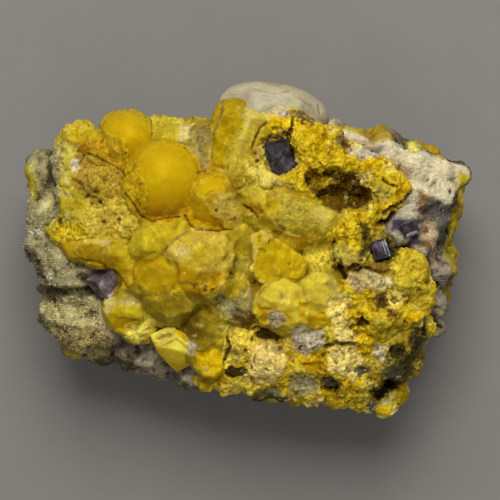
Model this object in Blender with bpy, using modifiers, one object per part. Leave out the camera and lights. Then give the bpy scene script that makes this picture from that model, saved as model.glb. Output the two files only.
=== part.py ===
"""Smithsonite specimen: a yellow botryoidal crust grown over a block of host rock, with fluorite cubes.

The block lies on its sawn base. +Z points up out of the display face, +X runs along the long side
and +Y towards the back edge. The origin is the centre of the base. Sizes below are in millimetres.
"""

import math
import random

import bmesh
import bpy
from mathutils import Euler, Matrix, Vector, noise

MM = 0.001

# ---- driving dimensions, mm -------------------------------------------------------------------
GAP = 0.3  # clearance that each crystal and crust keeps from the rock it sits on
FINE_VOXEL = 0.55  # grid used to fuse overlapping lobes
ROCK_FACES = 1600
CRUST_FACES = 3000
PATCH_FACES = 240  # for each side patch
SMALLEST_FACE = 0.02

# Outline of the host rock at its widest level.
ROCK_OUTLINE = [
    (-35.5, 12.5), (-33.5, 16.0), (-29.5, 18.0), (-24.0, 19.5), (-18.0, 20.0), (-12.0, 19.5),
    (-6.0, 20.5), (0.0, 22.0), (6.0, 22.0), (12.0, 20.5), (17.0, 19.0), (23.0, 17.5),
    (28.0, 16.0), (33.0, 14.3), (35.8, 12.5), (34.5, 9.0), (32.8, 4.0), (32.8, -2.0),
    (32.5, -8.0), (31.0, -13.5), (28.5, -18.0), (25.0, -21.5), (20.0, -24.0), (13.0, -24.0),
    (6.0, -24.3), (0.0, -23.5), (-6.0, -22.0), (-12.0, -20.3), (-18.0, -18.5), (-24.0, -17.5),
    (-29.0, -17.0), (-31.5, -13.5), (-34.2, -9.5), (-35.4, -4.5), (-35.4, 1.0), (-34.6, 6.5),
]
# Levels of the block: height above the base and the outline's share of full width there.
ROCK_LEVELS = [
    (-1.0, 0.83), (4.0, 0.91), (10.0, 0.975), (16.0, 1.0), (20.0, 0.985), (23.0, 0.94),
    (24.6, 0.86), (25.8, 0.68), (26.6, 0.36),
]
# Broken faces of the block: a point on each and the direction it faces.
FRACTURES = [
    ((-22.0, -12.5, 23.0), (-0.35, -0.72, 0.60)),
    ((26.0, 14.0, 28.0), (0.25, 0.50, 0.83)),
    ((30.0, -5.0, 25.0), (0.90, -0.10, 0.42)),
    ((25.0, -19.0, 23.5), (0.45, -0.60, 0.66)),
    ((5.0, -21.0, 23.5), (0.00, -0.75, 0.66)),
    ((-33.0, 12.0, 24.0), (-0.60, 0.30, 0.74)),
    ((31.0, -12.0, 7.0), (0.70, -0.35, -0.62)),
    ((-31.0, 8.0, 6.0), (-0.62, 0.35, -0.70)),
    ((-16.0, -17.5, 6.5), (-0.15, -0.76, -0.63)),
    ((2.0, 20.5, 8.0), (0.05, 0.86, -0.50)),
    ((24.0, 15.5, 9.0), (0.42, 0.78, -0.46)),
    ((12.0, -22.6, 9.0), (0.06, -0.92, -0.38)),
]
# Relief of the rock's skin: wavelength, depth and seed of each layer.
ROCK_RELIEF = [(11.0, 1.9, 1), (4.2, 1.1, 2)]
# Scoops out of the rock: centre and radii.
ROCK_SCOOPS = [
    ((15.6, 9.6, 30.4), (5.6, 4.2, 6.4)),
    ((-34.0, -15.5, 23.0), (5.0, 4.0, 6.0)),
    ((33.8, -9.0, 17.0), (1.6, 4.6, 2.2)),
]

# Lobes are (x, y, height of centre, radius).
ROCK_LUMPS = [
    # cream ledge along the back right
    (14.2, 20.0, 26.0, 1.9), (17.5, 17.8, 26.4, 2.4), (22.5, 16.4, 26.4, 3.0),
    (26.7, 14.0, 26.0, 3.7), (30.8, 12.4, 25.4, 3.4), (34.4, 12.6, 24.4, 2.5),
    (31.7, 9.2, 25.6, 2.8), (27.5, 9.2, 26.8, 3.0), (30.0, 5.0, 25.2, 3.0),
    # pale knobs and ribs beside the broken right side
    (25.5, 4.8, 27.3, 2.8), (24.2, 2.6, 27.6, 2.4), (28.3, 1.0, 26.0, 2.6), (30.8, -4.0, 23.8, 2.4),
    (31.0, -9.0, 22.4, 2.2), (31.2, -13.0, 20.2, 1.8),
    # sugary knobs of the left edge
    (-34.0, 13.2, 21.6, 3.0), (-33.2, 10.0, 22.6, 2.6), (-33.7, 5.8, 22.4, 2.8),
    (-34.0, 0.4, 21.6, 3.0), (-31.6, -2.4, 22.8, 3.6), (-29.0, -5.0, 23.6, 3.0),
    (-35.2, -6.6, 14.0, 2.0),
    # sugary slope of the front left
    (-28.3, -11.7, 20.2, 4.5), (-24.2, -12.4, 22.0, 3.0), (-31.5, -10.2, 19.0, 3.2),
    (-25.0, -15.6, 17.0, 3.2), (-29.0, -15.4, 14.5, 2.6), (-19.0, -16.6, 18.0, 2.8),
    (-15.0, -18.2, 17.6, 2.6), (-10.2, -20.6, 18.0, 2.2),
]

GLASSY_LOBES = [
    # the two round balls and their rough neighbours
    (-14.5, 11.7, 28.5, 6.1), (-20.5, 18.8, 26.6, 4.4), (-24.2, 16.7, 26.6, 3.5),
    (-6.2, 8.3, 29.4, 4.6), (-2.7, 6.2, 29.2, 2.7),
    # the large fused mass in the middle
    (-13.0, 3.0, 29.4, 3.4), (-16.8, 0.7, 30.8, 2.5), (-8.3, -0.6, 29.6, 5.6),
    (-14.2, -4.7, 30.0, 4.8), (-7.5, -4.4, 30.2, 4.4), (-12.0, -8.6, 28.0, 4.8),
    (-15.6, -8.0, 27.4, 3.6),
    # rounded rib running in from the left
    (-28.4, 1.2, 27.0, 2.7), (-25.0, 0.2, 28.2, 3.0), (-21.7, -1.8, 29.0, 3.1),
    (-19.0, -5.0, 29.0, 3.0),
    # pale buds of the front left
    (-20.8, -9.6, 26.8, 3.5), (-22.2, -7.3, 27.4, 2.3), (-7.5, -13.0, 26.4, 4.0),
    (-6.7, -18.2, 25.2, 2.7), (-2.5, -6.7, 28.2, 3.0), (-0.6, -8.5, 28.4, 2.3),
    (-4.4, -9.6, 27.6, 2.4), (-1.8, -11.4, 27.0, 2.3),
    # tall column at the back and the tongue that runs forward from it
    (-3.0, 21.9, 27.2, 3.0), (-3.0, 18.3, 29.2, 3.5), (-2.5, 14.2, 29.8, 3.4),
    (-0.8, 10.8, 30.2, 3.0), (0.8, 19.6, 28.8, 2.8), (1.7, 8.0, 30.2, 3.0),
    (5.0, 7.5, 30.2, 3.4), (8.3, 5.0, 30.4, 3.9), (11.7, 3.4, 30.2, 3.4),
    (6.7, 2.6, 29.4, 2.9), (13.3, 6.0, 30.0, 2.8),
    # pale green floor behind the comb
    (-0.8, 2.5, 27.4, 3.8), (-3.0, 0.0, 27.4, 2.8), (2.2, 4.0, 28.2, 2.7), (-1.0, -2.6, 27.4, 2.6),
    # front lobes right of the middle
    (5.3, -7.8, 29.4, 4.4), (2.5, -9.2, 29.2, 2.6), (9.2, -8.0, 29.2, 4.0),
    (11.7, -5.6, 29.4, 3.4), (11.3, -1.7, 30.0, 2.9), (13.6, -8.2, 28.6, 3.1),
    (8.3, -10.8, 27.8, 2.8), (11.9, -10.0, 27.8, 2.7),
]
# The comb: thin overlapping scales, flattened to this share of their radius.
COMB_FLATNESS = 0.55
COMB_SCALES = [
    (1.3, 1.6, 32.6, 1.8), (3.2, 0.6, 32.6, 2.3), (5.8, -0.4, 32.2, 2.4), (7.6, -2.2, 31.8, 2.2),
    (1.4, -3.0, 31.8, 2.0), (3.3, -4.2, 31.8, 2.1), (6.0, -4.4, 31.8, 2.3), (2.6, -1.3, 32.4, 2.6),
    (4.6, -2.2, 32.4, 2.8),
]
CRUMBLY_LOBES = [
    # left hollow and rim
    (-25.0, 10.8, 25.4, 4.2), (-29.2, 8.2, 26.0, 2.9), (-24.2, 5.8, 26.0, 3.6),
    (-20.0, 4.4, 27.2, 3.1), (-27.4, 3.6, 26.4, 2.9), (-30.2, 2.8, 25.6, 2.6),
    (-29.9, 17.0, 25.4, 2.3), (-30.0, 14.2, 26.6, 2.2), (-29.6, 11.3, 26.8, 2.2),
    (-27.5, 18.4, 25.0, 2.4), (-19.5, 8.0, 26.0, 3.0), (-14.2, 20.0, 25.6, 2.7),
    (-16.8, 20.2, 25.0, 2.2), (-9.4, 19.2, 25.0, 2.7), (-7.6, 16.4, 26.6, 2.5),
    (-10.6, 16.2, 25.6, 2.8), (-7.8, 13.2, 27.2, 2.4),
    # around the dark cube
    (1.6, 15.0, 30.0, 2.1), (3.2, 11.4, 30.4, 2.6), (6.9, 10.6, 30.4, 2.6), (10.0, 16.4, 29.6, 2.9),
    (12.5, 18.0, 28.2, 2.6), (6.8, 20.4, 28.4, 2.5), (3.6, 20.6, 28.4, 2.4), (9.2, 19.4, 28.4, 2.5),
    (13.3, 14.8, 29.4, 2.6), (16.7, 15.2, 28.4, 2.4), (9.8, 12.8, 29.4, 2.2),
    # rim of the hollow
    (20.0, 13.6, 28.6, 2.6), (22.5, 11.4, 28.8, 2.7), (24.0, 9.6, 28.2, 2.1),
    (20.9, 8.2, 29.4, 2.4), (12.6, 11.6, 27.0, 2.0), (10.4, 9.4, 29.8, 2.4), (18.7, 5.8, 29.4, 2.3),
    (15.8, 4.2, 30.0, 2.9), (18.3, 2.5, 29.6, 2.5), (15.8, -0.2, 30.0, 2.9),
    (16.8, 12.6, 26.0, 3.0), (16.4, 9.2, 23.4, 3.4), (13.0, 10.4, 24.0, 3.2), (19.4, 9.8, 25.0, 3.0),
    # right-hand field
    (25.8, -4.2, 27.4, 3.8), (23.2, -3.0, 28.2, 2.7), (27.6, -6.9, 26.6, 3.0),
    (20.0, -3.3, 28.8, 2.8), (19.2, -6.7, 28.2, 3.0), (15.9, -5.8, 28.8, 2.6),
    (23.0, -7.6, 27.0, 3.0), (20.8, -10.8, 27.0, 3.3), (25.8, -10.0, 26.0, 3.4),
    (16.2, -11.4, 27.4, 3.1), (13.4, -14.0, 26.4, 2.9), (18.3, -14.8, 25.8, 3.2),
    (24.0, -14.6, 24.2, 3.6), (27.6, -12.6, 23.6, 2.8), (21.7, -18.2, 23.2, 3.0),
    (25.4, -18.6, 21.4, 2.7), (15.0, -18.2, 24.2, 3.3), (18.3, -21.4, 21.6, 3.0),
    (14.2, -22.3, 21.4, 2.6), (10.0, -18.9, 24.2, 3.1), (8.3, -14.6, 26.2, 3.0),
    (5.0, -18.2, 24.4, 3.2), (1.7, -18.2, 24.8, 2.9), (-0.8, -15.4, 25.4, 2.8),
    (1.7, -22.2, 21.2, 2.7), (5.8, -22.4, 21.2, 2.9), (10.0, -22.8, 20.8, 2.7),
    (-2.8, -22.6, 20.8, 2.1), (-7.5, -21.5, 20.6, 2.0), (22.4, -25.1, 17.6, 2.5),
    (25.3, -23.6, 16.8, 2.2), (19.4, -24.4, 19.2, 2.1), (16.6, -23.8, 19.8, 2.2),
    (-4.8, -14.2, 25.6, 2.4), (-3.6, -20.6, 21.6, 2.2),
]
# Pits and slots that stay open in the crust: centre and radii.
HOLLOWS = [
    ((16.0, 9.4, 30.6), (3.6, 2.4, 4.6)),
    ((12.4, 10.9, 30.8), (2.5, 1.8, 2.8)),
    ((3.6, -13.8, 27.6), (2.9, 1.1, 2.2)),
    ((-2.4, -20.2, 25.0), (1.9, 1.0, 2.6)),
    ((14.6, -4.0, 31.6), (0.8, 1.7, 1.5)),
    ((11.6, -22.0, 24.0), (1.0, 0.8, 1.4)),
]

# Crust that wraps the lower sides, in the oval patches where it grew: the corner of ROCK_OUTLINE at
# its middle and how many corners it reaches each way, its middle level and reach up and down, and
# its random seed.
SIDE_PATCHES = {
    "smithsonite_patch_back_right": (11.1, 1.9, 15.0, 5.6, 11),
    "smithsonite_patch_right": (16.2, 2.1, 12.0, 7.4, 12),
    "smithsonite_patch_front_right": (20.9, 1.6, 8.6, 5.0, 13),
    "smithsonite_patch_front": (25.0, 2.0, 8.4, 4.6, 14),
    "smithsonite_patch_front_left": (29.9, 1.8, 7.0, 4.0, 15),
    "smithsonite_patch_left": (35.2, 1.7, 10.6, 5.4, 16),
    "smithsonite_patch_back": (5.6, 2.7, 11.4, 5.8, 17),
}
SIDE_SPACING = 3.4  # between neighbouring lobes of a side patch
SIDE_RADII = (2.0, 3.1)
SIDE_RIM_SHARE = 0.68  # size of a lobe at the rim of its patch against one in the middle
SIDE_STANDOFF = 1.012  # lobe centres sit this far out, as a share of the block's width

# Fluorite crystals, each of one cube or two grown through each other: centre, edges, tilt in degrees.
FLUORITES = {
    "fluorite_cube_dark": [
        ((4.9, 16.6, 29.0), (3.9, 3.9, 4.2), (16.0, -12.0, 12.0)),
        ((5.9, 14.2, 29.2), (3.6, 3.6, 4.0), (10.0, -18.0, 48.0)),
    ],
    "fluorite_cube_left": [((-24.0, -5.4, 27.0), (3.7, 3.7, 3.8), (24.0, 20.0, 42.0))],
    "fluorite_cube_right": [
        ((20.9, -0.2, 28.6), (2.7, 3.6, 3.8), (-12.0, 18.0, 14.0)),
        ((22.6, -0.5, 28.2), (2.6, 2.4, 3.0), (14.0, -10.0, 40.0)),
    ],
    "fluorite_cube_edge": [((26.4, 3.2, 29.2), (2.9, 2.4, 2.6), (10.0, 12.0, 40.0))],
}
CUBE_CHAMFER = 0.12

# White calcite lens on the back edge: centre, radii and tilt in degrees.
LENS_CENTRE = (3.9, 23.0, 25.0)
LENS_RADII = (9.2, 4.7, 4.6)
LENS_TILT = (-24.0, 6.0, -10.0)

# Angular crystal that leans over the front left slope.
BLADE_CENTRE = (-13.3, -15.9, 25.0)
BLADE_SIZE = (8.8, 4.4, 5.0)
BLADE_TILT = (34.0, 8.0, -49.0)
BLADE_TIP = (0.62, 0.55)  # share of its width and thickness left at the lower end


# ---- tools ------------------------------------------------------------------------------------
def clear_scene():
    for obj in list(bpy.data.objects):
        bpy.data.objects.remove(obj)


def make_collection(name):
    collection = bpy.data.collections.new(name)
    bpy.context.scene.collection.children.link(collection)
    return collection


def finish_material(name, colour, roughness):
    material = bpy.data.materials.new(name)
    material.use_nodes = True
    shader = material.node_tree.nodes["Principled BSDF"]
    shader.inputs["Base Color"].default_value = (*colour, 1.0)
    shader.inputs["Roughness"].default_value = roughness
    shader.inputs["Metallic"].default_value = 0.0
    return material


def to_object(name, bm, collection, material=None):
    mesh = bpy.data.meshes.new(name)
    bm.to_mesh(mesh)
    bm.free()
    obj = bpy.data.objects.new(name, mesh)
    collection.objects.link(obj)
    if material:
        mesh.materials.append(material)
    return obj


def apply_modifiers(obj):
    """Replaces the object's mesh with what its modifiers make of it."""
    graph = bpy.context.evaluated_depsgraph_get()
    graph.update()
    mesh = bpy.data.meshes.new_from_object(obj.evaluated_get(graph))
    obj.modifiers.clear()
    obj.data = mesh


def add_lobe(bm, x, y, z, radius, flatness=1.0, subdivisions=3):
    place = Matrix.Translation(Vector((x, y, z)) * MM) @ Matrix.Diagonal((1, 1, flatness, 1))
    bmesh.ops.create_icosphere(bm, subdivisions=subdivisions, radius=radius * MM, matrix=place)


def placed(centre, tilt):
    turn = Euler([math.radians(a) for a in tilt]).to_matrix().to_4x4()
    return Matrix.Translation(Vector(centre) * MM) @ turn


def add_box(bm, centre, size, tilt, grow=0.0):
    scale = Matrix.Diagonal([(side + 2 * grow) * MM for side in size] + [1])
    bmesh.ops.create_cube(bm, size=1.0, matrix=placed(centre, tilt) @ scale)


def add_blade(bm):
    """A four-sided crystal that narrows towards its lower end."""
    made = bmesh.ops.create_cube(bm, size=1.0)["verts"]
    tip = [vertex for vertex in made if vertex.co.x > 0]
    bmesh.ops.scale(bm, verts=tip, vec=(1.0, *BLADE_TIP))
    scale = Matrix.Diagonal([side * MM for side in BLADE_SIZE] + [1])
    bmesh.ops.transform(bm, verts=made, matrix=placed(BLADE_CENTRE, BLADE_TILT) @ scale)


def block_share(height):
    """The block's share of its full width at this level."""
    for (low, low_share), (high, high_share) in zip(ROCK_LEVELS, ROCK_LEVELS[1:]):
        if height <= high:
            return low_share + (high_share - low_share) * (height - low) / (high - low)
    return ROCK_LEVELS[-1][1]


def side_point(along, height):
    """A point on the block's side, this many corners along its outline."""
    corner = int(along)
    x0, y0 = ROCK_OUTLINE[corner % len(ROCK_OUTLINE)]
    x1, y1 = ROCK_OUTLINE[(corner + 1) % len(ROCK_OUTLINE)]
    part = along - corner
    share = block_share(height)
    return (x0 + (x1 - x0) * part) * share, (y0 + (y1 - y0) * part) * share


def side_lobes(middle, reach, level, rise, seed):
    """Lobes of one side patch: staggered rows inside an oval, smaller towards its rim."""
    dice = random.Random(seed)
    lobes = []
    rows = max(2, round(2 * rise / SIDE_SPACING) + 1)
    for row in range(rows):
        height = level - rise + 2 * rise * row / (rows - 1)
        along = middle - reach + dice.uniform(0.0, 0.3)
        while along <= middle + reach:
            x, y = side_point(along, height)
            next_x, next_y = side_point(along + 0.1, height)
            corner_length = 10 * math.hypot(next_x - x, next_y - y)
            away = math.hypot((along - middle) / reach, (height - level) / rise)
            radius = dice.uniform(*SIDE_RADII) * (1.0 - (1.0 - SIDE_RIM_SHARE) * min(1.0, away))
            lift = dice.uniform(-0.7, 0.7)
            if away < dice.uniform(0.86, 1.12):
                lobes.append((x * SIDE_STANDOFF, y * SIDE_STANDOFF, height + lift, radius))
            along += SIDE_SPACING * dice.uniform(0.8, 1.15) / corner_length
    return lobes


def fuse(obj, voxel=FINE_VOXEL):
    """Joins overlapping closed shapes into one skin."""
    remesh = obj.modifiers.new("fuse", "REMESH")
    remesh.mode = "VOXEL"
    remesh.voxel_size = voxel * MM
    apply_modifiers(obj)


def thin_out(obj, faces):
    """Collapses the mesh to about this many triangles."""
    now = sum(len(p.vertices) - 2 for p in obj.data.polygons)
    decimate = obj.modifiers.new("thin", "DECIMATE")
    decimate.ratio = min(1.0, faces / now)
    decimate.use_collapse_triangulate = True
    apply_modifiers(obj)


def roughen(obj, wavelength, depth, seed):
    """Pushes the surface in and out by smooth noise."""
    offset = Vector((seed * 3.1, seed * 1.7, seed * 2.3))
    moves = []
    for vertex in obj.data.vertices:
        at = vertex.co / (wavelength * MM) + offset
        moves.append(vertex.normal * (noise.noise(at) * depth * MM))
    for vertex, move in zip(obj.data.vertices, moves):
        vertex.co += move
    obj.data.update()


def connected_faces(bm):
    """The mesh's faces in groups that hang together along their edges."""
    waiting = set(bm.faces)
    groups = []
    while waiting:
        group = [waiting.pop()]
        for face in group:
            for edge in face.edges:
                for other in edge.link_faces:
                    if other in waiting:
                        waiting.remove(other)
                        group.append(other)
        groups.append(group)
    return groups


def keep_largest(obj):
    """Drops loose crumbs and sealed pockets, leaving the one main body."""
    bm = bmesh.new()
    bm.from_mesh(obj.data)
    bmesh.ops.dissolve_degenerate(bm, dist=SMALLEST_FACE * MM, edges=bm.edges)
    bmesh.ops.triangulate(bm, faces=bm.faces)
    groups = sorted(connected_faces(bm), key=len, reverse=True)
    loose = [face for group in groups[1:] for face in group]
    bmesh.ops.delete(bm, geom=loose, context="FACES")
    bm.to_mesh(obj.data)
    bm.free()


def cut(obj, cutter, crosses_itself=False):
    """Removes the cutter's volume from the object."""
    boolean = obj.modifiers.new("cut", "BOOLEAN")
    boolean.operation = "DIFFERENCE"
    boolean.solver = "EXACT"
    boolean.use_self = crosses_itself
    boolean.object = cutter
    apply_modifiers(obj)


def as_cutter(obj):
    obj.hide_render = True
    obj.display_type = "WIRE"
    return obj


def grown_copy(obj, name, collection, distance):
    """A copy whose skin stands this far outside the object's."""
    mesh = obj.data.copy()
    copy = bpy.data.objects.new(name, mesh)
    collection.objects.link(copy)
    for vertex in mesh.vertices:
        vertex.co += vertex.normal * (distance * MM)
    return as_cutter(copy)


# ---- pieces -----------------------------------------------------------------------------------
def rock_block(bm):
    """The block: its outline drawn up level by level, then broken along flat faces."""
    height, share = ROCK_LEVELS[0]
    corners = [bm.verts.new((x * share * MM, y * share * MM, height * MM)) for x, y in ROCK_OUTLINE]
    ring = [bm.edges.new((corners[i - 1], corners[i])) for i in range(len(corners))]
    bmesh.ops.contextual_create(bm, geom=ring)
    for next_height, next_share in ROCK_LEVELS[1:]:
        raised = bmesh.ops.extrude_edge_only(bm, edges=ring)["geom"]
        ring = [item for item in raised if isinstance(item, bmesh.types.BMEdge)]
        corners = [item for item in raised if isinstance(item, bmesh.types.BMVert)]
        bmesh.ops.translate(bm, verts=corners, vec=(0, 0, (next_height - height) * MM))
        bmesh.ops.scale(bm, verts=corners, vec=(next_share / share, next_share / share, 1))
        height, share = next_height, next_share
    bmesh.ops.contextual_create(bm, geom=ring)
    bmesh.ops.recalc_face_normals(bm, faces=bm.faces)
    for point, facing in FRACTURES:
        slice_off(bm, Vector(point) * MM, Vector(facing))


def slice_off(bm, point, facing):
    """Cuts away what lies beyond a plane and closes the cut with one flat face."""
    whole = list(bm.verts) + list(bm.edges) + list(bm.faces)
    sliced = bmesh.ops.bisect_plane(bm, geom=whole, plane_co=point, plane_no=facing, clear_outer=True)
    rim = [item for item in sliced["geom_cut"] if isinstance(item, bmesh.types.BMEdge)]
    bmesh.ops.contextual_create(bm, geom=rim)
    bmesh.ops.recalc_face_normals(bm, faces=bm.faces)


def saw_base(obj):
    bm = bmesh.new()
    bm.from_mesh(obj.data)
    slice_off(bm, Vector((0, 0, 0)), Vector((0, 0, -1)))
    bm.to_mesh(obj.data)
    bm.free()


def host_rock(collection, cutters, material):
    bm = bmesh.new()
    rock_block(bm)
    for lump in ROCK_LUMPS:
        add_lobe(bm, *lump)
    rock = to_object("host_rock", bm, collection)
    fuse(rock)
    for wavelength, depth, seed in ROCK_RELIEF:
        roughen(rock, wavelength, depth, seed)
    for scoop in ellipsoid_cutters("scoop", ROCK_SCOOPS, cutters):
        cut(rock, scoop)
    fuse(rock)
    thin_out(rock, ROCK_FACES)
    saw_base(rock)
    keep_largest(rock)
    rock.data.materials.append(material)
    return rock


def main_crust(collection, material):
    bm = bmesh.new()
    for lobe in GLASSY_LOBES + CRUMBLY_LOBES:
        add_lobe(bm, *lobe)
    for scale in COMB_SCALES:
        add_lobe(bm, *scale, flatness=COMB_FLATNESS)
    add_blade(bm)
    crust = to_object("smithsonite_crust", bm, collection)
    fuse(crust)
    thin_out(crust, CRUST_FACES)
    crust.data.materials.append(material)
    return crust


def ellipsoid_cutters(name, shapes, collection):
    cutters = []
    for number, (centre, radii) in enumerate(shapes):
        bm = bmesh.new()
        place = Matrix.Translation(Vector(centre) * MM) @ Matrix.Diagonal([r * MM for r in radii] + [1])
        bmesh.ops.create_icosphere(bm, subdivisions=2, radius=1.0, matrix=place)
        cutters.append(as_cutter(to_object(f"{name}_{number}", bm, collection)))
    return cutters


def side_patch(name, lobes, collection, material):
    bm = bmesh.new()
    for lobe in lobes:
        add_lobe(bm, *lobe)
    patch = to_object(name, bm, collection)
    fuse(patch)
    thin_out(patch, PATCH_FACES)
    patch.data.materials.append(material)
    return patch


def fluorite(name, boxes, collection, material, grow=0.0):
    """One crystal; where two cubes grew through each other they are joined into one solid."""
    parts = []
    for number, (centre, size, tilt) in enumerate(boxes):
        bm = bmesh.new()
        add_box(bm, centre, size, tilt, grow)
        if not grow:
            bmesh.ops.bevel(
                bm, geom=bm.edges[:], offset=CUBE_CHAMFER * MM, segments=1, profile=0.5, affect="EDGES", material=-1
            )
        parts.append(to_object(name if number == 0 else f"{name}_{number}", bm, collection, material))
    whole = parts[0]
    for other in parts[1:]:
        join = whole.modifiers.new("join", "BOOLEAN")
        join.operation = "UNION"
        join.solver = "EXACT"
        join.object = other
        apply_modifiers(whole)
        bpy.data.objects.remove(other)
    return whole


def calcite_lens(collection, material, grow=0.0, name="calcite_lens"):
    bm = bmesh.new()
    radii = [(radius + grow) * MM for radius in LENS_RADII]
    place = placed(LENS_CENTRE, LENS_TILT) @ Matrix.Diagonal(radii + [1])
    bmesh.ops.create_icosphere(bm, subdivisions=3, radius=1.0, matrix=place)
    return to_object(name, bm, collection, material)


def main():
    clear_scene()
    specimen = make_collection("smithsonite_specimen")
    cutters = make_collection("cutters")
    rock_finish = finish_material("host rock", (0.42, 0.39, 0.31), 0.85)
    crust_finish = finish_material("yellow smithsonite", (0.72, 0.50, 0.03), 0.38)
    fluorite_finish = finish_material("purple fluorite", (0.07, 0.05, 0.10), 0.22)
    calcite_finish = finish_material("white calcite", (0.66, 0.62, 0.48), 0.45)

    lens = calcite_lens(specimen, calcite_finish)
    lens_socket = as_cutter(calcite_lens(cutters, None, GAP, "lens_socket"))
    sockets = [lens_socket]
    for name, boxes in FLUORITES.items():
        fluorite(name, boxes, specimen, fluorite_finish)
        sockets.append(as_cutter(fluorite(name + "_socket", boxes, cutters, None, GAP)))

    rock = host_rock(specimen, cutters, rock_finish)
    rock_cutter = grown_copy(rock, "rock_grown", cutters, GAP)

    hollows = ellipsoid_cutters("hollow", HOLLOWS, cutters)
    crust = main_crust(specimen, crust_finish)
    cut(crust, rock_cutter, crosses_itself=True)
    for cutter in [*hollows, *sockets]:
        cut(crust, cutter)
    keep_largest(crust)
    for cutter in sockets:
        cut(rock, cutter)
    keep_largest(rock)
    for name, span in SIDE_PATCHES.items():
        patch = side_patch(name, side_lobes(*span), specimen, crust_finish)
        cut(patch, rock_cutter, crosses_itself=True)
        keep_largest(patch)


main()
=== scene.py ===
import math
import random

import bmesh
import bpy
import numpy as np
from mathutils import Euler, Matrix, Vector, noise


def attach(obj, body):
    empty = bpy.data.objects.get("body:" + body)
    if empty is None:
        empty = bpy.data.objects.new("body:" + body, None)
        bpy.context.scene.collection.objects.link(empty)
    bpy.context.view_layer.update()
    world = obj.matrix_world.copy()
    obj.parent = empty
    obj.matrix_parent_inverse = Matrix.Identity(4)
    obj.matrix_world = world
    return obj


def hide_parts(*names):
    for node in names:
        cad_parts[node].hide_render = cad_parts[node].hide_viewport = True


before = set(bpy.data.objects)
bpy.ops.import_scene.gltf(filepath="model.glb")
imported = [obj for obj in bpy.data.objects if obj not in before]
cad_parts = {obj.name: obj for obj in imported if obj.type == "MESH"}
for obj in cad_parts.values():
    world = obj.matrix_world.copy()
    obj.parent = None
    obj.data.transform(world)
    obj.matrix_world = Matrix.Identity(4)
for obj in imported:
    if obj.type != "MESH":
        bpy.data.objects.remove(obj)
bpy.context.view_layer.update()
mm = 0.001  # every place and size below is in millimetres

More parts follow.
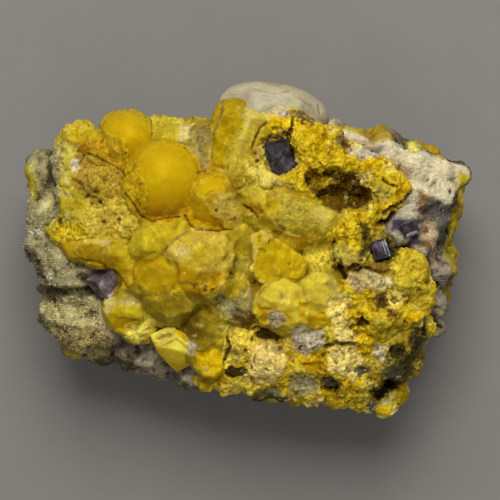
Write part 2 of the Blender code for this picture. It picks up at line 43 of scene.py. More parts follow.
# finishes of the surface: colour, height of the fine grain, height of the crumbs, pitting, polish
tones = {
    "bladeLemon": ("f2e45e", 0.04, 0.03, 0.0, 0.985),
    "rimCream": ("d8ca70", 0.02, 0.02, 0.0, 0.85),
    "combYellow": ("bfa30f", 0.015, 0.0, 0.0, 0.98),
    "crumbGold": ("c5a815", 0.06, 0.18, 0.3, 0.5),
    "bladeGold": ("d8be2a", 0.03, 0.02, 0.0, 0.985),
    "gold": ("bd9e0a", 0.012, 0.0, 0.0, 1.0),
    "goldShade": ("b18d08", 0.015, 0.0, 0.0, 1.0),
    "brokenGold": ("b5961b", 0.05, 0.16, 0.35, 0.6),
    "rustOrange": ("9b6d06", 0.015, 0.0, 0.0, 0.98),
    "rust": ("7c5410", 0.05, 0.1, 0.1, 0.5),
    "lemonGold": ("b59f18", 0.02, 0.04, 0.0, 0.85),
    "lemonCream": ("c1b44f", 0.06, 0.12, 0.0, 0.5),
    "lemon": ("b7a627", 0.05, 0.08, 0.0, 0.6),
    "lemonGlass": ("b8a61c", 0.02, 0.02, 0.0, 0.9),
    "lemonBright": ("d7ca5b", 0.05, 0.1, 0.0, 0.6),
    "lemonLobe": ("d2c03a", 0.02, 0.02, 0.0, 0.85),
    "lemonCrumb": ("d4c541", 0.07, 0.24, 0.1, 0.35),
    "lemonYellow": ("cebc32", 0.07, 0.2, 0.05, 0.4),
    "lemonPale": ("e2d66b", 0.07, 0.22, 0.05, 0.35),
    "lemonOlive": ("af9f23", 0.04, 0.08, 0.0, 0.7),
    "lemonSugar": ("eae060", 0.08, 0.25, 0.05, 0.45),
    "lemonPowder": ("ecd74d", 0.05, 0.12, 0.38, 0.15),
    "mustard": ("ad9530", 0.08, 0.2, 0.08, 0.4),
    "oliveTan": ("a98f36", 0.08, 0.22, 0.1, 0.35),
    "white": ("d3d1b1", 0.08, 0.14, 0.0, 0.5),
    "cream": ("d0c67c", 0.05, 0.06, 0.0, 0.55),
    "waxCream": ("c4ae42", 0.05, 0.06, 0.0, 0.6),
    "tanCream": ("a09056", 0.05, 0.08, 0.0, 0.5),
    "sugarYellow": ("c7b541", 0.08, 0.18, 0.05, 0.4),
    "yellow": ("d2b91e", 0.08, 0.19, 0.26, 0.2),
    "deepYellow": ("cfb20c", 0.08, 0.17, 0.22, 0.2),
    "paleYellow": ("f0e080", 0.08, 0.2, 0.34, 0.2),
    "brokenYellow": ("cbb954", 0.08, 0.22, 0.3, 0.3),
    "shadeYellow": ("a48c12", 0.08, 0.2, 0.15, 0.3),
    "amber": ("a4870f", 0.02, 0.02, 0.0, 0.9),
    "amberGlass": ("ae910c", 0.015, 0.0, 0.0, 0.975),
    # amberDark: amber, partly darkened as painted shade where facets and edges face away from the light
    "amberDark": ("a8870c", 0.02, 0.0, 0.0, 0.9),
    "greyOlive": ("8d834a", 0.06, 0.18, 0.3, 0.45),
    "oliveGlass": ("907d16", 0.02, 0.03, 0.0, 0.85),
    "deepOlive": ("614e11", 0.03, 0.04, 0.0, 0.8),
    "oliveShade": ("836b0f", 0.03, 0.04, 0.0, 0.8),
    "speckle": ("ac983d", 0.05, 0.1, 0.1, 0.6),
    "floorOlive": ("aa9620", 0.02, 0.03, 0.0, 0.85),
    "paleGreen": ("94872e", 0.02, 0.03, 0.0, 0.85),
    "goldOlive": ("a28b07", 0.02, 0.03, 0.0, 0.85),
    "speckledLemon": ("b5a535", 0.05, 0.1, 0.0, 0.55),
    "paleLemon": ("c4b75d", 0.04, 0.06, 0.0, 0.7),
    "orangeGold": ("ddbd0f", 0.05, 0.12, 0.05, 0.5),
    "sugarOlive": ("aea341", 0.08, 0.24, 0.1, 0.4),
    "rustOlive": ("7e6204", 0.03, 0.04, 0.0, 0.8),
    "paleOlive": ("958b51", 0.05, 0.1, 0.0, 0.6),
    "umberGrey": ("6d5d38", 0.08, 0.2, 0.1, 0.3),
    "umber": ("60420f", 0.08, 0.2, 0.1, 0.2),
    # hollowBrown: the floor of deep hollows, darkened as painted shade
    "hollowBrown": ("5e470e", 0.08, 0.24, 0.1, 0.2),
    # oliveBrown: olive brown darkened as painted shade
    "oliveBrown": ("504716", 0.08, 0.2, 0.05, 0.3),
    "brownOlive": ("7f6621", 0.06, 0.14, 0.05, 0.4),
    "yellowOlive": ("ae9c26", 0.06, 0.18, 0.05, 0.4),
    "brownPit": ("6e5128", 0.05, 0.1, 0.0, 0.2),
    "black": ("0c0b09", 0.05, 0.1, 0.0, 0.3),
    "darkRed": ("42200e", 0.05, 0.1, 0.0, 0.2),
    "sand": ("f0dc80", 0.05, 0.08, 0.42, 0.1),
    "ash": ("c3bda2", 0.08, 0.18, 0.1, 0.25),
    "paleAsh": ("b0a98e", 0.08, 0.16, 0.1, 0.2),
    "slate": ("65625a", 0.1, 0.2, 0.1, 0.25),
    "slatePale": ("9c996b", 0.08, 0.16, 0.05, 0.3),
    "slateFacet": ("50524a", 0.05, 0.1, 0.0, 0.5),
    "slateBlue": ("2c2820", 0.05, 0.1, 0.0, 0.4),
    "chalk": ("e8deb8", 0.05, 0.07, 0.04, 0.3),
    "pinkTan": ("b8a67a", 0.08, 0.12, 0.3, 0.1),
    "tan": ("c2b689", 0.08, 0.15, 0.1, 0.1),
    "rustTan": ("ac7d48", 0.08, 0.15, 0.2, 0.1),
    "peach": ("c2ab86", 0.08, 0.12, 0.1, 0.15),
    "greyBlue": ("8b8a7a", 0.05, 0.1, 0.0, 0.3),
    "redBrown": ("5c3125", 0.08, 0.15, 0.2, 0.1),
    "tanStrip": ("a09482", 0.1, 0.24, 0.25, 0.15),
    "sugar": ("9f996d", 0.1, 0.26, 0.0, 0.4),
    "paleSugar": ("bcb47b", 0.1, 0.24, 0.0, 0.4),
    "mossSugar": ("524924", 0.1, 0.26, 0.1, 0.4),
    "mauve": ("8c795a", 0.1, 0.2, 0.2, 0.2),
    "mauveBrown": ("8a7f6a", 0.1, 0.22, 0.2, 0.2),
    "darkSpeckle": ("9f9058", 0.1, 0.26, 0.3, 0.3),
    "violet": ("43345c", 0.05, 0.1, 0.0, 0.5),
    "blackViolet": ("261d20", 0.05, 0.1, 0.0, 0.5),
    "greyViolet": ("5e5860", 0.05, 0.1, 0.0, 0.4),
    "oliveLemon": ("bbaa1c", 0.04, 0.06, 0.0, 0.7),
    "oliveRock": ("4d4c1c", 0.08, 0.18, 0.1, 0.3),
    "darkOliveRock": ("494323", 0.08, 0.2, 0.1, 0.3),
    "rock": ("938c76", 0.1, 0.2, 0.2, 0.1),
    "darkRock": ("5c553e", 0.1, 0.24, 0.3, 0.1),
    "lens": ("aea685", 0.02, 0.0, 0.0, 0.6),
    "lensShade": ("958c6e", 0.03, 0.0, 0.05, 0.5),
}
# sizes of the relief in mm, from the broad swell of a skin down to its grain
relief = {
    "swell": 3.0, "lump": 1.2, "crumb": 0.95, "smallCrumb": 0.5, "grain": 0.45, "face": 2.6, "facet": 1.2,
    "edgeWander": 1.8, "wideBreak": 1.5, "fineBreak": 0.7, "veins": 2.5, "crevice": 0.22,
}


def linear(code):
    values = [int(code[i:i + 2], 16) / 255 for i in (0, 2, 4)]
    return [v / 12.92 if v <= 0.04045 else ((v + 0.055) / 1.055) ** 2.4 for v in values]


toneRows = {name: np.array([*linear(row[0]), *row[1:]], np.float32) for name, row in tones.items()}


def newPiece(name, bm, material=None, smooth=True):
    mesh = bpy.data.meshes.new(name)
    bm.to_mesh(mesh)
    bm.free()
    obj = bpy.data.objects.new(name, mesh)
    bpy.context.scene.collection.objects.link(obj)
    if material:
        mesh.materials.append(material)
    if smooth:
        mesh.shade_smooth()
    return obj


def applyModifiers(obj):
    graph = bpy.context.evaluated_depsgraph_get()
    graph.update()
    mesh = bpy.data.meshes.new_from_object(obj.evaluated_get(graph))
    obj.modifiers.clear()
    old = obj.data
    obj.data = mesh
    bpy.data.meshes.remove(old)
    mesh.name = obj.name


def fuse(obj, voxel):
    remesh = obj.modifiers.new("fuse", "REMESH")
    remesh.mode = "VOXEL"
    remesh.voxel_size = voxel * mm
    remesh.use_smooth_shade = True
    applyModifiers(obj)


def readArray(items, field, width, kind=np.float32):
    values = np.empty(len(items) * width, kind)
    items.foreach_get(field, values)
    return values.reshape(-1, width)


def readPoints(obj):
    return readArray(obj.data.vertices, "co", 3) / mm


def writePoints(obj, points):
    obj.data.vertices.foreach_set("co", (points * mm).astype(np.float32).ravel())
    obj.data.update()


def readNormals(obj):
    return readArray(obj.data.vertex_normals, "vector", 3)


def readEdges(obj):
    return readArray(obj.data.edges, "vertices", 2, np.int32)


def averaged(values, edges, rounds):
    # each point takes the mean of its neighbours, this many times over
    ends = np.concatenate([edges[:, 0], edges[:, 1]])
    others = np.concatenate([edges[:, 1], edges[:, 0]])
    count = np.maximum(np.bincount(ends, minlength=len(values)), 1)
    for _ in range(rounds):
        sums = [np.bincount(ends, weights=column[others], minlength=len(values)) for column in values.T]
        values = (np.stack(sums, 1) / count[:, None]).astype(np.float32)
    return values


def smoothSkin(obj, rounds):
    points = averaged(readPoints(obj), readEdges(obj), rounds)
    writePoints(obj, points)
    return points


def waves(points, size, seed):
    return np.array([noise.noise(p) for p in (points / size + seed * 7.3).tolist()], np.float32)


def luckOf(cell):
    # a number from 0 to 1 that belongs to one cell of the stone
    return (cell[0] * 12.99 + cell[1] * 78.23 + cell[2] * 37.72) % 1.0


def cells(points, size, seed):
    # distance to the middle of each point's cell, and the cell's luck
    found = [noise.voronoi(p) for p in (points / size + seed * 5.7).tolist()]
    away = np.array([distances[0] for distances, _ in found], np.float32)
    return away, np.array([luckOf(middles[0]) for _, middles in found], np.float32)


def ramp(values, low, high):
    part = np.clip((values - low) / (high - low), 0.0, 1.0)
    return part * part * (3 - 2 * part)


def addMany(bm, items, addOne, handful=40):
    # shapes go in by the handful, because every operator walks the whole of its mesh
    mesh = bpy.data.meshes.new("handful")
    for start in range(0, len(items), handful):
        part = bmesh.new()
        for item in items[start:start + handful]:
            addOne(part, item)
        part.to_mesh(mesh)
        part.free()
        bm.from_mesh(mesh)
    bpy.data.meshes.remove(mesh)


def addLobes(bm, lobes, level=3):
    def addOne(part, lobe):
        x, y, z, radius, *flatness = lobe
        place = Matrix.Translation(Vector((x, y, z)) * mm) @ Matrix.Diagonal((1, 1, *(flatness or [1]), 1))
        bmesh.ops.create_icosphere(part, subdivisions=level, radius=radius * mm, matrix=place)

    addMany(bm, lobes, addOne)


def lobeField(points, lobes, soft):
    # distance to the skin of lobes that run into each other, and its slope
    centres = np.array([lobe[:3] for lobe in lobes], np.float32)
    radii = np.array([lobe[3] for lobe in lobes], np.float32)
    away = points[:, None] - centres[None]
    reach = np.linalg.norm(away, axis=2)
    gap = reach - radii
    nearest = gap.min(1, keepdims=True)
    weight = np.exp((nearest - gap) / soft)
    total = weight.sum(1, keepdims=True)
    slope = (weight[:, :, None] * away / reach[:, :, None]).sum(1) / total
    return (nearest - soft * np.log(total))[:, 0], slope


def blendLobes(points, lobes, soft, warp, domes=(), handful=20000, rounds=5):
    # moves points onto the mass of the lobes, out of which true domes stand
    for start in range(0, len(points), handful):
        part = points[start:start + handful]
        for _ in range(rounds):
            field, slope = lobeField(part + warp[start:start + handful], lobes, soft)
            if domes:
                domeField, domeSlope = lobeField(part, domes, 0.15)
                share = ramp(field - domeField, -0.35, 0.35)
                field = field * (1 - share) + domeField * share
                slope = slope * (1 - share[:, None]) + domeSlope * share[:, None]
            part -= (slope * (field / np.maximum((slope ** 2).sum(1), 0.3))[:, None]).clip(-1, 1)
        points[start:start + handful] = part


def cutFacets(points, groups):
    # flat sloping faces that meet in ridges: middle and reach of the group, then the planes
    for (x, y, reach), planes in groups:
        away = np.hypot(points[:, 0] - x, points[:, 1] - y) / reach
        near = np.flatnonzero((away < 1) & (points[:, 2] > 24))  # only what stands up in the crust
        at = points[near]
        heights = [z + (at[:, 0] - px) * sx + (at[:, 1] - py) * sy for px, py, z, sx, sy in planes]
        drop = np.maximum(at[:, 2] - np.min(heights, axis=0), 0)
        points[near, 2] -= drop * ramp(-away[near], -1.0, -0.8)


def warpOf(points, layers, seed):
    # smooth sideways shifts, as many as there are layers of (size, reach)
    shift = np.zeros_like(points)
    for number, (size, reach) in enumerate(layers):
        columns = [waves(points, size, seed + 3 * number + i) for i in range(3)]
        shift += np.stack(columns, 1) * reach
    return shift


def ragged(points, size, reach, seed):
    return points + warpOf(points, [(size, reach)], seed)


def plainFinish(points, tone):
    return np.repeat(toneRows[tone][None], len(points), 0)


def mixTone(finish, tone, weight):
    return finish * (1 - weight) + toneRows[tone] * weight


def cloudTone(finish, points, tone, size, seed, borders, share=1.0):
    # soft clouds of another tone, this many mm across
    cloud = ramp(waves(points, size, seed), *borders)[:, None] * share
    return mixTone(finish, tone, cloud)


def paintSpots(finish, points, spots, edge=0.45):
    # round patches seen from above, each with its own finish: x, y, radius and at times a share
    for tone, places in spots.items():
        for x, y, radius, *share in places:
            away = np.hypot(points[:, 0] - x, points[:, 1] - y) / radius
            weight = ramp(-away, -1.0, -edge) * (share[0] if share else 1.0)
            finish[:] = mixTone(finish, tone, weight[:, None])


def insideBy(points, outline):
    # how far each point is inside an outline seen from above, below zero outside it
    x, y = points[:, 0], points[:, 1]
    nearest = np.full(len(points), 1e9, np.float32)
    inside = np.zeros(len(points), bool)
    for (x0, y0), (x1, y1) in zip(outline, outline[1:] + outline[:1]):
        part = ((x - x0) * (x1 - x0) + (y - y0) * (y1 - y0)) / max((x1 - x0) ** 2 + (y1 - y0) ** 2, 1e-6)
        part = part.clip(0, 1)
        nearest = np.minimum(nearest, np.hypot(x - x0 - part * (x1 - x0), y - y0 - part * (y1 - y0)))
        if y0 != y1:
            inside ^= ((y0 > y) != (y1 > y)) & (x < (x1 - x0) * (y - y0) / (y1 - y0) + x0)
    return np.where(inside, nearest, -nearest)


def paintRegions(finish, points, regions, border=0.3):
    # outlined patches seen from above, each with its finish and at times how soft its border is
    for tone, outline, *rest in regions:
        soft = rest[0] if rest else border
        low = np.min(outline, axis=0) - soft
        high = np.max(outline, axis=0) + soft
        near = np.flatnonzero(((points[:, :2] > low) & (points[:, :2] < high)).all(1))
        weight = ramp(insideBy(points[near], outline), -soft, soft)[:, None]
        finish[near] = mixTone(finish[near], tone, weight)


def seamWeight(points, line, width):
    # how near each point is, seen from above, to a line of places
    nearest = np.full(len(points), 1e9, np.float32)
    for (x0, y0), (x1, y1) in zip(line, line[1:]):
        run = np.array([x1 - x0, y1 - y0], np.float32)
        part = ((points[:, :2] - [x0, y0]) @ run / max(run @ run, 1e-6)).clip(0, 1)
        nearest = np.minimum(nearest, np.linalg.norm(points[:, :2] - [x0, y0] - part[:, None] * run, axis=1))
    return ramp(-nearest, -width, -width * 0.25)


def cutSeams(finish, points, normals, seams, strength=0.85):
    # narrow furrows, darker than what they part: line, width, depth, finish
    for line, width, depth, tone in seams:
        weight = seamWeight(points, line, width)[:, None] * (normals[:, 2:] > 0.1)
        points -= normals * weight * depth
        finish[:] = mixTone(finish, tone, weight * strength)


def pressHollows(points, hollows):
    # pushes what stands inside an ellipsoid down to the ellipsoid's floor
    for (x, y, z), (rx, ry, rz) in hollows:
        away = ((points[:, 0] - x) / rx) ** 2 + ((points[:, 1] - y) / ry) ** 2
        inside = away < 1
        floor = z - rz * np.sqrt(1 - away[inside])
        points[inside, 2] = np.minimum(points[inside, 2], floor)


def flatFaces(points, size, seed):
    # rises towards the border of each cell of the stone, so that a round mass breaks into flat faces
    lift, luck, ridge = np.empty((3, len(points)), np.float32)
    for i, place in enumerate((points / size + seed * 5.7).tolist()):
        distances, middles = noise.voronoi(place)
        x, y, z = middles[0]
        turn = luckOf((x, y, z))
        angle = 6.2832 * turn
        tilt = (place[0] - x) * math.cos(angle) + (place[1] - y) * math.sin(angle)
        lift[i] = (distances[0] * size) ** 2 / 7 + 0.1 * tilt
        luck[i] = (turn * 7.31) % 1.0
        ridge[i] = (distances[1] - distances[0]) * size
    return lift, luck, ridge


def roughen(points, normals, finish, seed, coarse):
    # crumbs, pits and grain, as high as the finish at each point says
    grain, crumb, pitting, polish = finish[:, 3:].T
    lift = waves(points, relief["swell"], seed) * coarse * (0.15 + crumb * 3.0)
    lift += waves(points, relief["lump"], seed + 6) * crumb * 0.9
    wide, luck = cells(ragged(points, 0.8, 0.3, seed + 7), relief["crumb"], seed + 1)
    lift += (0.45 - wide) * crumb * 1.0
    small, smallLuck = cells(ragged(points, 0.4, 0.12, seed + 8), relief["smallCrumb"], seed + 2)
    lift += (0.45 - small) * crumb * 0.9
    lift += waves(points, relief["grain"], seed + 3) * (grain + crumb * 0.35) * 1.3
    # glassy skins are broken into faces, except where they are polished round
    glassy = ramp(polish, 0.5, 0.8) * (1 - ramp(polish, 0.96, 0.99))
    wander = relief["edgeWander"]
    face, faceLuck, ridge = flatFaces(ragged(points, wander, 0.15, seed + 9), relief["face"], seed + 10)
    facet, facetLuck, _ = flatFaces(ragged(points, wander, 0.1, seed + 11), relief["facet"], seed + 12)
    lift += (face * 0.8 + facet * 0.8) * glassy
    broken = waves(points, relief["wideBreak"], seed + 4) + 0.7 * waves(points, relief["fineBreak"], seed + 5)
    pits = ramp(-broken, 0.75 - 0.7 * pitting, 1.0 - 0.6 * pitting) * ramp(pitting, 0.0, 0.1)
    lift -= pits * (0.15 + 0.45 * pitting)
    points += normals * lift[:, None]
    # each crumb and each face is a little lighter or darker than the next
    shade = 1 + (luck - 0.5) * (0.06 + crumb * 0.9) + (smallLuck - 0.5) * (0.04 + crumb * 1.3)
    shade += ((faceLuck - 0.5) * 0.16 + (facetLuck - 0.5) * 0.14) * glassy
    finish[:, :3] *= shade[:, None]
    veined = ramp(waves(points, relief["veins"], seed + 13), -0.1, 0.3)
    veins = ramp(-ridge, -0.2, -0.02) * glassy * veined * 0.25
    finish[:, :3] += (toneRows["lemonCream"][:3] - finish[:, :3]) * veins[:, None]
    return pits


def hollowness(points, normals, edges, rounds, depth):
    # 0 on open ground and 1 in a crevice of this depth
    mean = averaged(points, edges, rounds)
    return np.clip(((mean - points) * normals).sum(1) / depth, -1, 1)


def storeField(obj, name, kind, field, values):
    layer = obj.data.attributes.new(name, kind, "POINT")
    layer.data.foreach_set(field, values.astype(np.float32).ravel())


def storeFinish(obj, finish, hollow):
    colour = np.ones((len(finish), 4), np.float32)
    colour[:, :3] = finish[:, :3]
    storeField(obj, "tone", "FLOAT_COLOR", "color", colour)
    storeField(obj, "polish", "FLOAT", "value", finish[:, 6])
    storeField(obj, "hollow", "FLOAT", "value", hollow)


def finishSurface(obj, finish, seed, seams=(), coarse=0.35, rounds=6):
    # carves the relief that the finish asks for, then stores colour, polish and how hollow each point lies,
    # for the painted shade in crevices
    points, normals, edges = readPoints(obj), readNormals(obj), readEdges(obj)
    cutSeams(finish, points, normals, seams)
    pits = roughen(points, normals, finish, seed, coarse)
    writePoints(obj, points)
    hollow = hollowness(points, readNormals(obj), edges, rounds, relief["crevice"])
    # crevices and pits both count as hollow, and the materials darken them as painted shade
    storeFinish(obj, finish, np.maximum(hollow, pits * 0.9))
    obj.data.shade_smooth()


def addNode(tree, kind, settings=None, links=None):
    node = tree.nodes.new("ShaderNode" + kind)
    for name, value in (settings or {}).items():
        if isinstance(name, str) and hasattr(node, name):
            setattr(node, name, value)
        else:
            node.inputs[name].default_value = value
    for name, socket in (links or {}).items():
        tree.links.new(socket, node.inputs[name])
    return node


def startMaterial(name, settings):
    material = bpy.data.materials.new(name)
    material.use_nodes = True
    tree = material.node_tree
    shader = tree.nodes["Principled BSDF"]
    for socket, value in settings.items():
        shader.inputs[socket].default_value = value
    return material, tree, shader


def surfaceMaterial(name, settings, look):
    # colour from the surface's own tone, with pale grains that are partly painted highlights, ochre between
    # them that is painted shade, specks, and crevices and pits darkened as painted shade
    material, tree, shader = startMaterial(name, settings)
    place = addNode(tree, "TexCoord").outputs["Object"]
    tone, polish, hollow = [addNode(tree, "Attribute", {"attribute_name": field}).outputs[socket]
                            for field, socket in (("tone", "Color"), ("polish", "Fac"), ("hollow", "Fac"))]
    # clouds 1.7 mm across, the finish's own grain and sugary clusters half a millimetre wide; the real
    # grain is near 0.1 mm, too fine to show, so it is drawn about 0.4 mm wide
    broad, fine, sugar = [
        addNode(tree, "TexNoise", {"Scale": 1 / (size * mm), "Detail": detail, "Roughness": roughness},
                {"Vector": place}).outputs["Fac"]
        for size, detail, roughness in ((1.7, 4.0, 0.5), (look["grainSize"], 3.0, 0.5), (0.55, 5.0, 0.75))]
    grains = addNode(tree, "TexVoronoi", {"Scale": 1 / (look["grainSize"] * 1.5 * mm), "Detail": 1.0,
                                          "Roughness": 0.6}, {"Vector": place}).outputs
    both = addNode(tree, "Math", {"operation": "ADD"}, {0: broad, 1: fine}).outputs[0]
    cluster = addNode(tree, "Math", {"operation": "MULTIPLY_ADD", 1: 0.5}, {0: broad, 2: sugar}).outputs[0]
    height = addNode(tree, "Math", {"operation": "SUBTRACT"}, {0: fine, 1: grains["Distance"]}).outputs[0]
    # what each pattern reads, from and to, and what it gives there
    ranges = {
        "loose": (polish, 0.0, 1.0, 1.0, 0.06),
        "bare": (polish, 1.0, 0.94, 0.1, 1.0),
        "gloss": (polish, 0.0, 1.0, *look["roughness"]),
        "spread": (fine, 0.3, 0.7, -0.08, 0.08),
        "swing": (both, 0.75, 1.25, -look["mottle"], look["mottle"]),
        "hue": (broad, 0.3, 0.7, 0.49, 0.51),
        "sunk": (grains["Distance"], 0.35, 0.75, 0.0, look["between"]),
        "raised": (grains["Color"], 0.55, 0.95, 0.0, look["grains"]),
        "flakes": (cluster, 0.84, 0.93, 0.0, look["specks"]),
        "deep": (hollow, 0.05, 0.9, 0.0, look["crevice"]),
        "ridge": (hollow, -0.15, -0.8, 0.0, look["edge"]),
    }
    made = {}
    for key, (source, low, high, first, last) in ranges.items():
        reads = {"From Min": low, "From Max": high, "To Min": first, "To Max": last, "clamp": key != "swing"}
        made[key] = addNode(tree, "MapRange", reads, {"Value": source}).outputs[0]
    sunk, raised, specks = [
        addNode(tree, "Math", {"operation": "MULTIPLY"}, {0: made[a], 1: made[b]}).outputs[0]
        for a, b in (("sunk", "loose"), ("raised", "loose"), ("flakes", "bare"))]
    value = addNode(tree, "Math", {"operation": "MULTIPLY_ADD", 2: 1.0},
                    {0: made["swing"], 1: made["loose"]}).outputs[0]
    colour = addNode(tree, "HueSaturation", {},
                     {"Color": tone, "Value": value, "Hue": made["hue"]}).outputs[0]
    # from the bottom up: how much of each colour lies over the tone
    layers = [
        # ochre between the grains is painted shade, and the paler grains are partly painted highlights
        (sunk, "MULTIPLY", linear(look["betweenShadeColour"])),
        (raised, "MULTIPLY", look["paler"]),
        (specks, "MIX", linear(look["edgeColour"])),
        # crevices and pits darkened: painted shade
        (made["deep"], "MULTIPLY", linear(look["creviceShadeColour"])),
        (made["ridge"], "MIX", linear(look["edgeColour"])),
    ]
    for share, how, over in layers:
        colour = addNode(tree, "Mix", {"data_type": "RGBA", "blend_type": how, 7: (*over, 1)},
                         {0: share, 6: colour}).outputs[2]
    tree.links.new(colour, shader.inputs["Base Color"])
    rough = addNode(tree, "Math", {"operation": "ADD"}, {0: made["gloss"], 1: made["spread"]}).outputs[0]
    tree.links.new(rough, shader.inputs["Roughness"])
    bump = addNode(tree, "Bump", {"Distance": look["bump"] * mm},
                   {"Height": height, "Strength": made["loose"]}).outputs[0]
    tree.links.new(bump, shader.inputs["Normal"])
    return material


# waxy zinc carbonate in round masses: light goes in and glows back yellow, and the skin is smooth
glassyFinish = surfaceMaterial(
    "waxy botryoidal smithsonite",
    {"Subsurface Weight": 0.5, "Subsurface Radius": (1.0, 0.8, 0.1), "Subsurface Scale": 1.1 * mm,
     "IOR": 1.62, "Specular IOR Level": 0.3, "Specular Tint": (*linear("ffcf30"), 1)},
    {"creviceShadeColour": "ab8a44", "crevice": 0.75, "edgeColour": "e6d060", "edge": 0.18,
     "betweenShadeColour": "b08a28", "between": 0.4, "grains": 0.8, "paler": (1.5, 1.5, 1.6), "specks": 0.6,
     "mottle": 0.4, "grainSize": 0.4, "bump": 0.14, "roughness": (0.8, 0.42)})
# the same carbonate as loose crumbs: powdery, matt and strongly coloured
crumblyFinish = surfaceMaterial(
    "powdery yellow smithsonite",
    {"Subsurface Weight": 0.08, "Subsurface Radius": (1.0, 0.9, 0.15), "Subsurface Scale": 0.5 * mm,
     "IOR": 1.6, "Specular IOR Level": 0.15, "Specular Tint": (*linear("ffd850"), 1)},
    {"creviceShadeColour": "806028", "crevice": 0.8, "edgeColour": "f2e08c", "edge": 0.25,
     "betweenShadeColour": "a87828", "between": 0.42, "grains": 0.9, "paler": (1.45, 1.5, 1.7), "specks": 0.45,
     "mottle": 0.3, "grainSize": 0.38, "bump": 0.2, "roughness": (0.85, 0.5)})
# limestone and drusy quartz: dry, matt, grey to cream
rockFinish = surfaceMaterial(
    "limestone with drusy coating", {"IOR": 1.55, "Specular IOR Level": 0.25},
    {"creviceShadeColour": "5c5038", "crevice": 0.85, "edgeColour": "e4dcc0", "edge": 0.25,
     "betweenShadeColour": "948468", "between": 0.5, "grains": 0.6, "paler": (1.35, 1.33, 1.3), "specks": 0.4,
     "mottle": 0.22, "grainSize": 0.45, "bump": 0.2, "roughness": (0.9, 0.5)})

